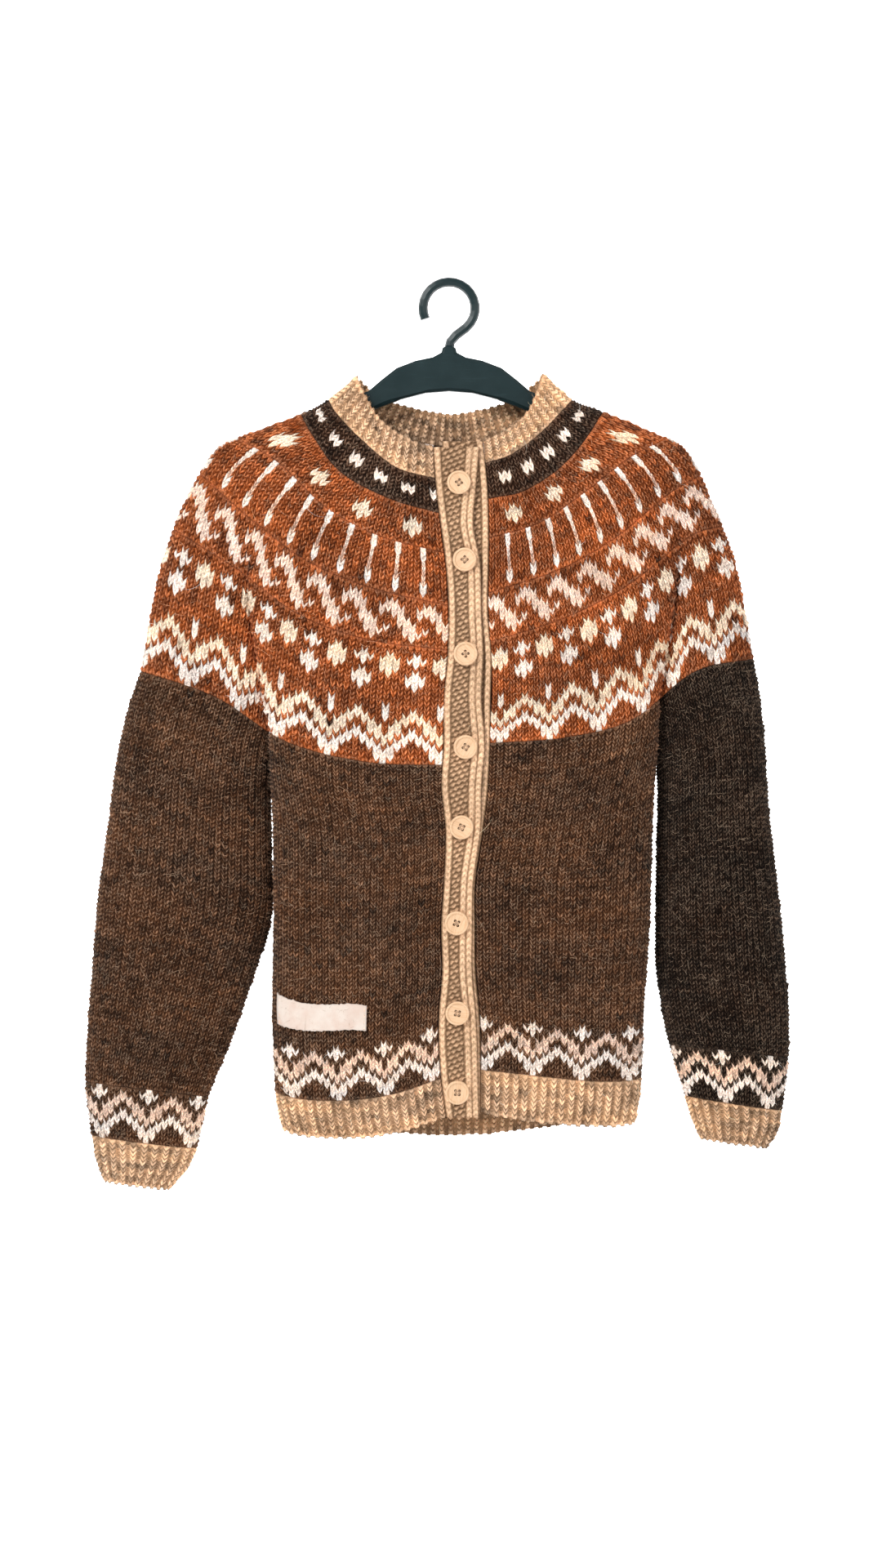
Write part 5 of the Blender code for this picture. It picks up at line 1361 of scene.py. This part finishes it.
class CARDIGAN_OT_ribs(bpy.types.Operator):
    """Knit the ribbed welt, cuffs and neckband"""

    bl_idname = "cardigan.ribs"
    bl_label = "Welt, cuffs and neckband"

    def execute(self, context):
        relief = context.scene.cardigan_sizes.rib_relief / MM
        for name, rows, pitch, edge, quarter in (
            ("rib_welt", WELT_ROWS, RIB_PITCH, 0, raised_welt_quarter),
            ("rib_neckband", NECK_ROWS, NECK_PITCH, -1, neck_quarter),
        ):
            counts = [
                max(1, round(arc_lengths(quarter(*key, 0.5))[-1] / pitch)) for key in QUARTERS
            ]
            lines = np.array([
                stitched_ring(lambda *key, share=share: quarter(*key, share), counts, RIB)
                for share in half_rows(rows)
            ])
            piece = Knitting()
            colours = chart_rows([], rows, sum(counts), "tan", 2.2)
            knit(piece, lines, sum(counts), RIB, False, colours, relief, 400, edge)
            declare_cloth(piece.build(name, rib_wool()))
        for side, rows in CUFFS.items():
            count = round(arc_lengths(sleeve_section(rows, 0.5))[-1] / RIB_PITCH)
            lines = np.array([
                closed_line(sleeve_section(rows, 1.0 - share), count, RIB, side)
                for share in half_rows(CUFF_ROWS)
            ])
            piece = Knitting()
            colours = chart_rows([], CUFF_ROWS, count, "tan", 3.1, painted_shading_tone=CUFF_PAINTED_LIGHTING[side])
            knit(piece, lines, count, RIB, True, colours, relief, 500, 0)
            declare_cloth(piece.build(f"rib_cuff_{side}", rib_wool()))
        return {"FINISHED"}


class CARDIGAN_OT_bands(bpy.types.Operator):
    """Knit the two button bands"""

    bl_idname = "cardigan.bands"
    bl_label = "Button bands"

    def execute(self, context):
        bands = (("band_buttonhole_knit", "right"), ("band_button_knit", "left"))
        for item in [band_piece(name, side) for name, side in bands]:
            declare_cloth(item)
        return {"FINISHED"}


class CARDIGAN_OT_buttons(bpy.types.Operator):
    """Turn the eight buttons and sew them on"""

    bl_idname = "cardigan.buttons"
    bl_label = "Buttons"

    def execute(self, context):
        mesh = button_mesh(wood_finish())
        threads = Knitting()
        for number, z in enumerate(BUTTON_HEIGHTS, start=1):
            low, high = [np.array(corner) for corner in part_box(f"button_{number}")]
            spread = (high[1] - low[1] - BUTTON_THICKNESS * MM) / (2.0 * BUTTON_RADIUS * MM)
            lean = math.asin(max(0.0, min(1.0, spread)))
            above, below = depth_at(False, z + BUTTON_RADIUS), depth_at(False, z - BUTTON_RADIUS)
            item = link_item(f"wood_button_{number}", mesh)
            item.location = (low + high) / 2
            item.rotation_euler = (math.pi / 2 - (lean if above < below else -lean), 0.0, 0.0)
            item.rotation_euler.rotate_axis("Z", FIRST_TURN + NEXT_TURN * number)
            context.view_layer.update()
            matrix = np.array(item.matrix_world)
            for strand in thread_strands(number):
                line = strand @ matrix[:3, :3].T + matrix[:3, 3] / MM
                add_tube(threads, line, THREAD_RADIUS, palette()["tan"] * THREAD_TONE)
            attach(item, ROOT)
            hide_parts(f"button_{number}")
        declare_trim(threads.build("button_threads", rib_wool()))
        return {"FINISHED"}


class CARDIGAN_OT_label(bpy.types.Operator):
    """Weave the bare tape label and sew it on"""

    bl_idname = "cardigan.label"
    bl_label = "Label"

    def execute(self, context):
        ground = label_ground()
        frays = np.random.default_rng(3).normal(0.0, 0.3, (2, LABEL_COLUMNS + 1))
        outer, inner = [], []
        for down in reversed(range(LABEL_ROWS + 1)):
            outer.append([])
            inner.append([])
            for across in range(LABEL_COLUMNS + 1):
                s, t = across / LABEL_COLUMNS, down / LABEL_ROWS
                place = label_place(s, t)
                if down in (0, LABEL_ROWS):
                    place = place + np.array([0.0, frays[down // LABEL_ROWS, across]])
                point, normal = ground(*place)
                wave = 0.6 + 0.4 * math.sin(11.0 * s + 3.0 * t)
                puff = 1.3 + 0.7 * math.sin(math.pi * s) * wave
                puff += 0.35 * math.sin(math.pi * t) + 0.2 * math.sin(23.0 * s + 5.0 * t)
                inner[-1].append(point + normal * LABEL_UNDERSIDE)
                outer[-1].append(point + normal * (LABEL_UNDERSIDE + puff))
        depth = np.ones((LABEL_ROWS + 1, LABEL_COLUMNS + 1))
        tape = palette()["tape"]
        declare_cloth(wall_piece("tape_label", outer, inner, depth, tape, tape_finish()))
        sewing = Knitting()
        for s in (0.025, 0.975):
            for t in (0.12, 0.36, 0.60, 0.84):
                line = []
                for step in even(4):
                    place = label_place(s, t + 0.12 * step) + np.array([0.3 * step, 0.0])
                    point, normal = ground(*place)
                    line.append(point + normal * (1.7 + 0.5 * math.sin(math.pi * step)))
                add_tube(sewing, np.array(line), SEWING_RADIUS, tape * np.array([0.72, 0.6, 0.52]))
        declare_trim(sewing.build("label_sewing", rib_wool()))
        return {"FINISHED"}


class CARDIGAN_OT_fibres(bpy.types.Operator):
    """Raise loose fibres on the wool"""

    bl_idname = "cardigan.fibres"
    bl_label = "Loose fibres"

    def execute(self, context):
        sizes = context.scene.cardigan_sizes
        rng = np.random.default_rng(5)
        # number, mean length, rise and parts of the short fibres and of the long hairs
        kinds = (sizes.fibres, sizes.fibre / MM, 2.2, 3), (LONG_HAIRS, LONG_HAIR, 2.6, 8)
        piece = Knitting()
        for name, share in FIBRE_SHARES:
            mesh = bpy.data.objects[name].data
            points = read_array(mesh.vertices, "co", 3).astype(float) / MM
            normals = read_array(mesh.vertices, "normal", 3).astype(float)
            heights = read_array(mesh.attributes["yarn_height"].data, "value", 1)
            tints = read_array(mesh.attributes["yarn_colour"].data, "color", 4).astype(float)
            starts = read_array(mesh.polygons, "loop_start", 1, np.int32)
            roots = read_array(mesh.loops, "vertex_index", 1, np.int32)[starts + 1]
            able = np.nonzero(heights[roots] > FIBRE_LEVEL)[0]
            for number, mean, rise, parts in kinds:
                picked = able[rng.integers(0, len(able), int(number * share))]
                root, normal = points[roots[picked]], normals[roots[picked]]
                add_fibres(piece, root, normal, tints[picked, :3], mean, rise, parts, rng)
        declare_trim(piece.build("wool_halo", fibre_finish()))
        return {"FINISHED"}


class CARDIGAN_OT_hanger(bpy.types.Operator):
    """Give the hanger its moulded plastic"""

    bl_idname = "cardigan.hanger"
    bl_label = "Hanger"

    def execute(self, context):
        hanger = frame["nodes"]["hanger"]
        hanger.data.materials.clear()
        hanger.data.materials.append(plastic_finish())
        return {"FINISHED"}


# ================================================================ stage
CAMERA_DISTANCE = 3.0        # metres from the garment's front
FRONT_Y = 0.04               # metres from the middle to the garment's front
VIEW_WIDTH = 0.7344          # metres that the picture spans at the front
VIEW_CENTRE = (-0.0068, -0.4196)
PICTURE = (1080.0, 1920.0)   # width and height
SENSOR = 36.0
SKY_STRENGTH = 0.50
LIGHTS = (                   # name, place, target, size in metres, watts
    ("key", (-1.3, -2.2, 1.2), (0.0, 0.0, -0.35), 1.0, 64.0),
    ("fill", (1.7, -2.2, 0.2), (0.0, 0.0, -0.4), 1.8, 14.0),
    ("wall_left", (-2.4, 1.6, 1.0), (-0.4, 4.6, -0.7), 1.6, 190.0),
    ("wall_right", (2.4, 1.6, 1.0), (0.4, 4.6, -0.7), 1.6, 190.0),
)
FLOOR_HALF_WIDTH = 8.0       # metres, as the rest of the stage
FLOOR_START, FLOOR_Z = -8.0, -1.25
CURVE_CENTRE = (3.9, -0.25)  # y and z of the curve's centre; its radius is 1
WALL_TOP = (4.9, 5.0)


def pale_floor():
    """A pale floor that curves up into a wall behind the object."""
    turns = [math.pi / 2 * step / 12 for step in range(13)]
    curve = [(CURVE_CENTRE[0] + math.sin(turn), CURVE_CENTRE[1] - math.cos(turn)) for turn in turns]
    profile = [(FLOOR_START, FLOOR_Z), *curve, WALL_TOP]
    points = [(x, y, z) for y, z in profile for x in (-FLOOR_HALF_WIDTH, FLOOR_HALF_WIDTH)]
    faces = [(step, step + 1, step + 3, step + 2) for step in range(0, 2 * len(profile) - 2, 2)]
    mesh = bpy.data.meshes.new("pale_floor")
    mesh.from_pydata(points, [], faces)
    mesh.shade_smooth()
    paper = Finish("pale_paper", Roughness=0.9)
    colour = paper.mix(0.3 * paper.noise(3.0), (0.97, 0.97, 0.97), (0.94, 0.94, 0.94))
    mesh.materials.append(paper.done(colour))
    return link_item("pale_floor", mesh)


class CARDIGAN_OT_stage(bpy.types.Operator):
    """Set up the camera, the pale floor and the soft light"""

    bl_idname = "cardigan.stage"
    bl_label = "Stage"

    def execute(self, context):
        scene = context.scene
        camera = bpy.data.cameras.new("camera")
        camera.sensor_fit = "VERTICAL"
        camera.sensor_height = SENSOR
        camera.lens = SENSOR * CAMERA_DISTANCE / (VIEW_WIDTH * PICTURE[1] / PICTURE[0])
        camera.clip_end = 50.0
        eye = link_item("camera", camera)
        eye.location = (VIEW_CENTRE[0], -CAMERA_DISTANCE - FRONT_Y, VIEW_CENTRE[1])
        eye.rotation_euler = (math.pi / 2, 0.0, 0.0)
        scene.camera = eye
        pale_floor()
        world = bpy.data.worlds.new("studio")
        world.use_nodes = True
        sky = world.node_tree.nodes["Background"]
        sky.inputs["Color"].default_value = (1.0, 1.0, 1.0, 1.0)
        sky.inputs["Strength"].default_value = SKY_STRENGTH
        scene.world = world
        scene.view_settings.view_transform = "Standard"
        for name, place, target, size, power in LIGHTS:
            light = bpy.data.lights.new(name, "AREA")
            light.shape = "DISK"
            light.size = size
            light.energy = power
            lamp = link_item(name, light)
            lamp.location = place
            x, y, z = np.array(target) - np.array(place)
            lamp.rotation_euler = (math.atan2(math.hypot(x, y), -z), 0.0, math.atan2(-x, y))
        return {"FINISHED"}


class CARDIGAN_PT_pieces(bpy.types.Panel):
    """Pieces of the cardigan"""

    bl_idname = "CARDIGAN_PT_pieces"
    bl_label = "Cardigan"
    bl_space_type = "VIEW_3D"
    bl_region_type = "UI"
    bl_category = "Cardigan"

    def draw(self, context):
        for group in (context.scene.cardigan_sizes, context.scene.cardigan_colours):
            box = self.layout.box()
            for name in group.__annotations__:
                box.prop(group, name)
        for operator in OPERATORS:
            self.layout.operator(operator.bl_idname)


OPERATORS = (
    CARDIGAN_OT_yoke, CARDIGAN_OT_body, CARDIGAN_OT_sleeves, CARDIGAN_OT_ribs,
    CARDIGAN_OT_bands, CARDIGAN_OT_buttons, CARDIGAN_OT_label, CARDIGAN_OT_fibres,
    CARDIGAN_OT_hanger, CARDIGAN_OT_stage,
)
CLASSES = (CardiganSizes, CardiganColours, *OPERATORS, CARDIGAN_PT_pieces)


def register():
    """Add the classes and the scene's settings."""
    for item in CLASSES:
        bpy.utils.register_class(item)
    bpy.types.Scene.cardigan_sizes = bpy.props.PointerProperty(type=CardiganSizes)
    bpy.types.Scene.cardigan_colours = bpy.props.PointerProperty(type=CardiganColours)


def unregister():
    """Remove the settings and the classes."""
    del bpy.types.Scene.cardigan_colours
    del bpy.types.Scene.cardigan_sizes
    for item in reversed(CLASSES):
        bpy.utils.unregister_class(item)


def main():
    """Register the add-on and run its operators to dress the frame."""
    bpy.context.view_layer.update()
    register()
    for operator in OPERATORS:
        getattr(bpy.ops.cardigan, operator.bl_idname.split(".")[1])()
    bpy.context.view_layer.update()


if __name__ == "__main__":
    main()
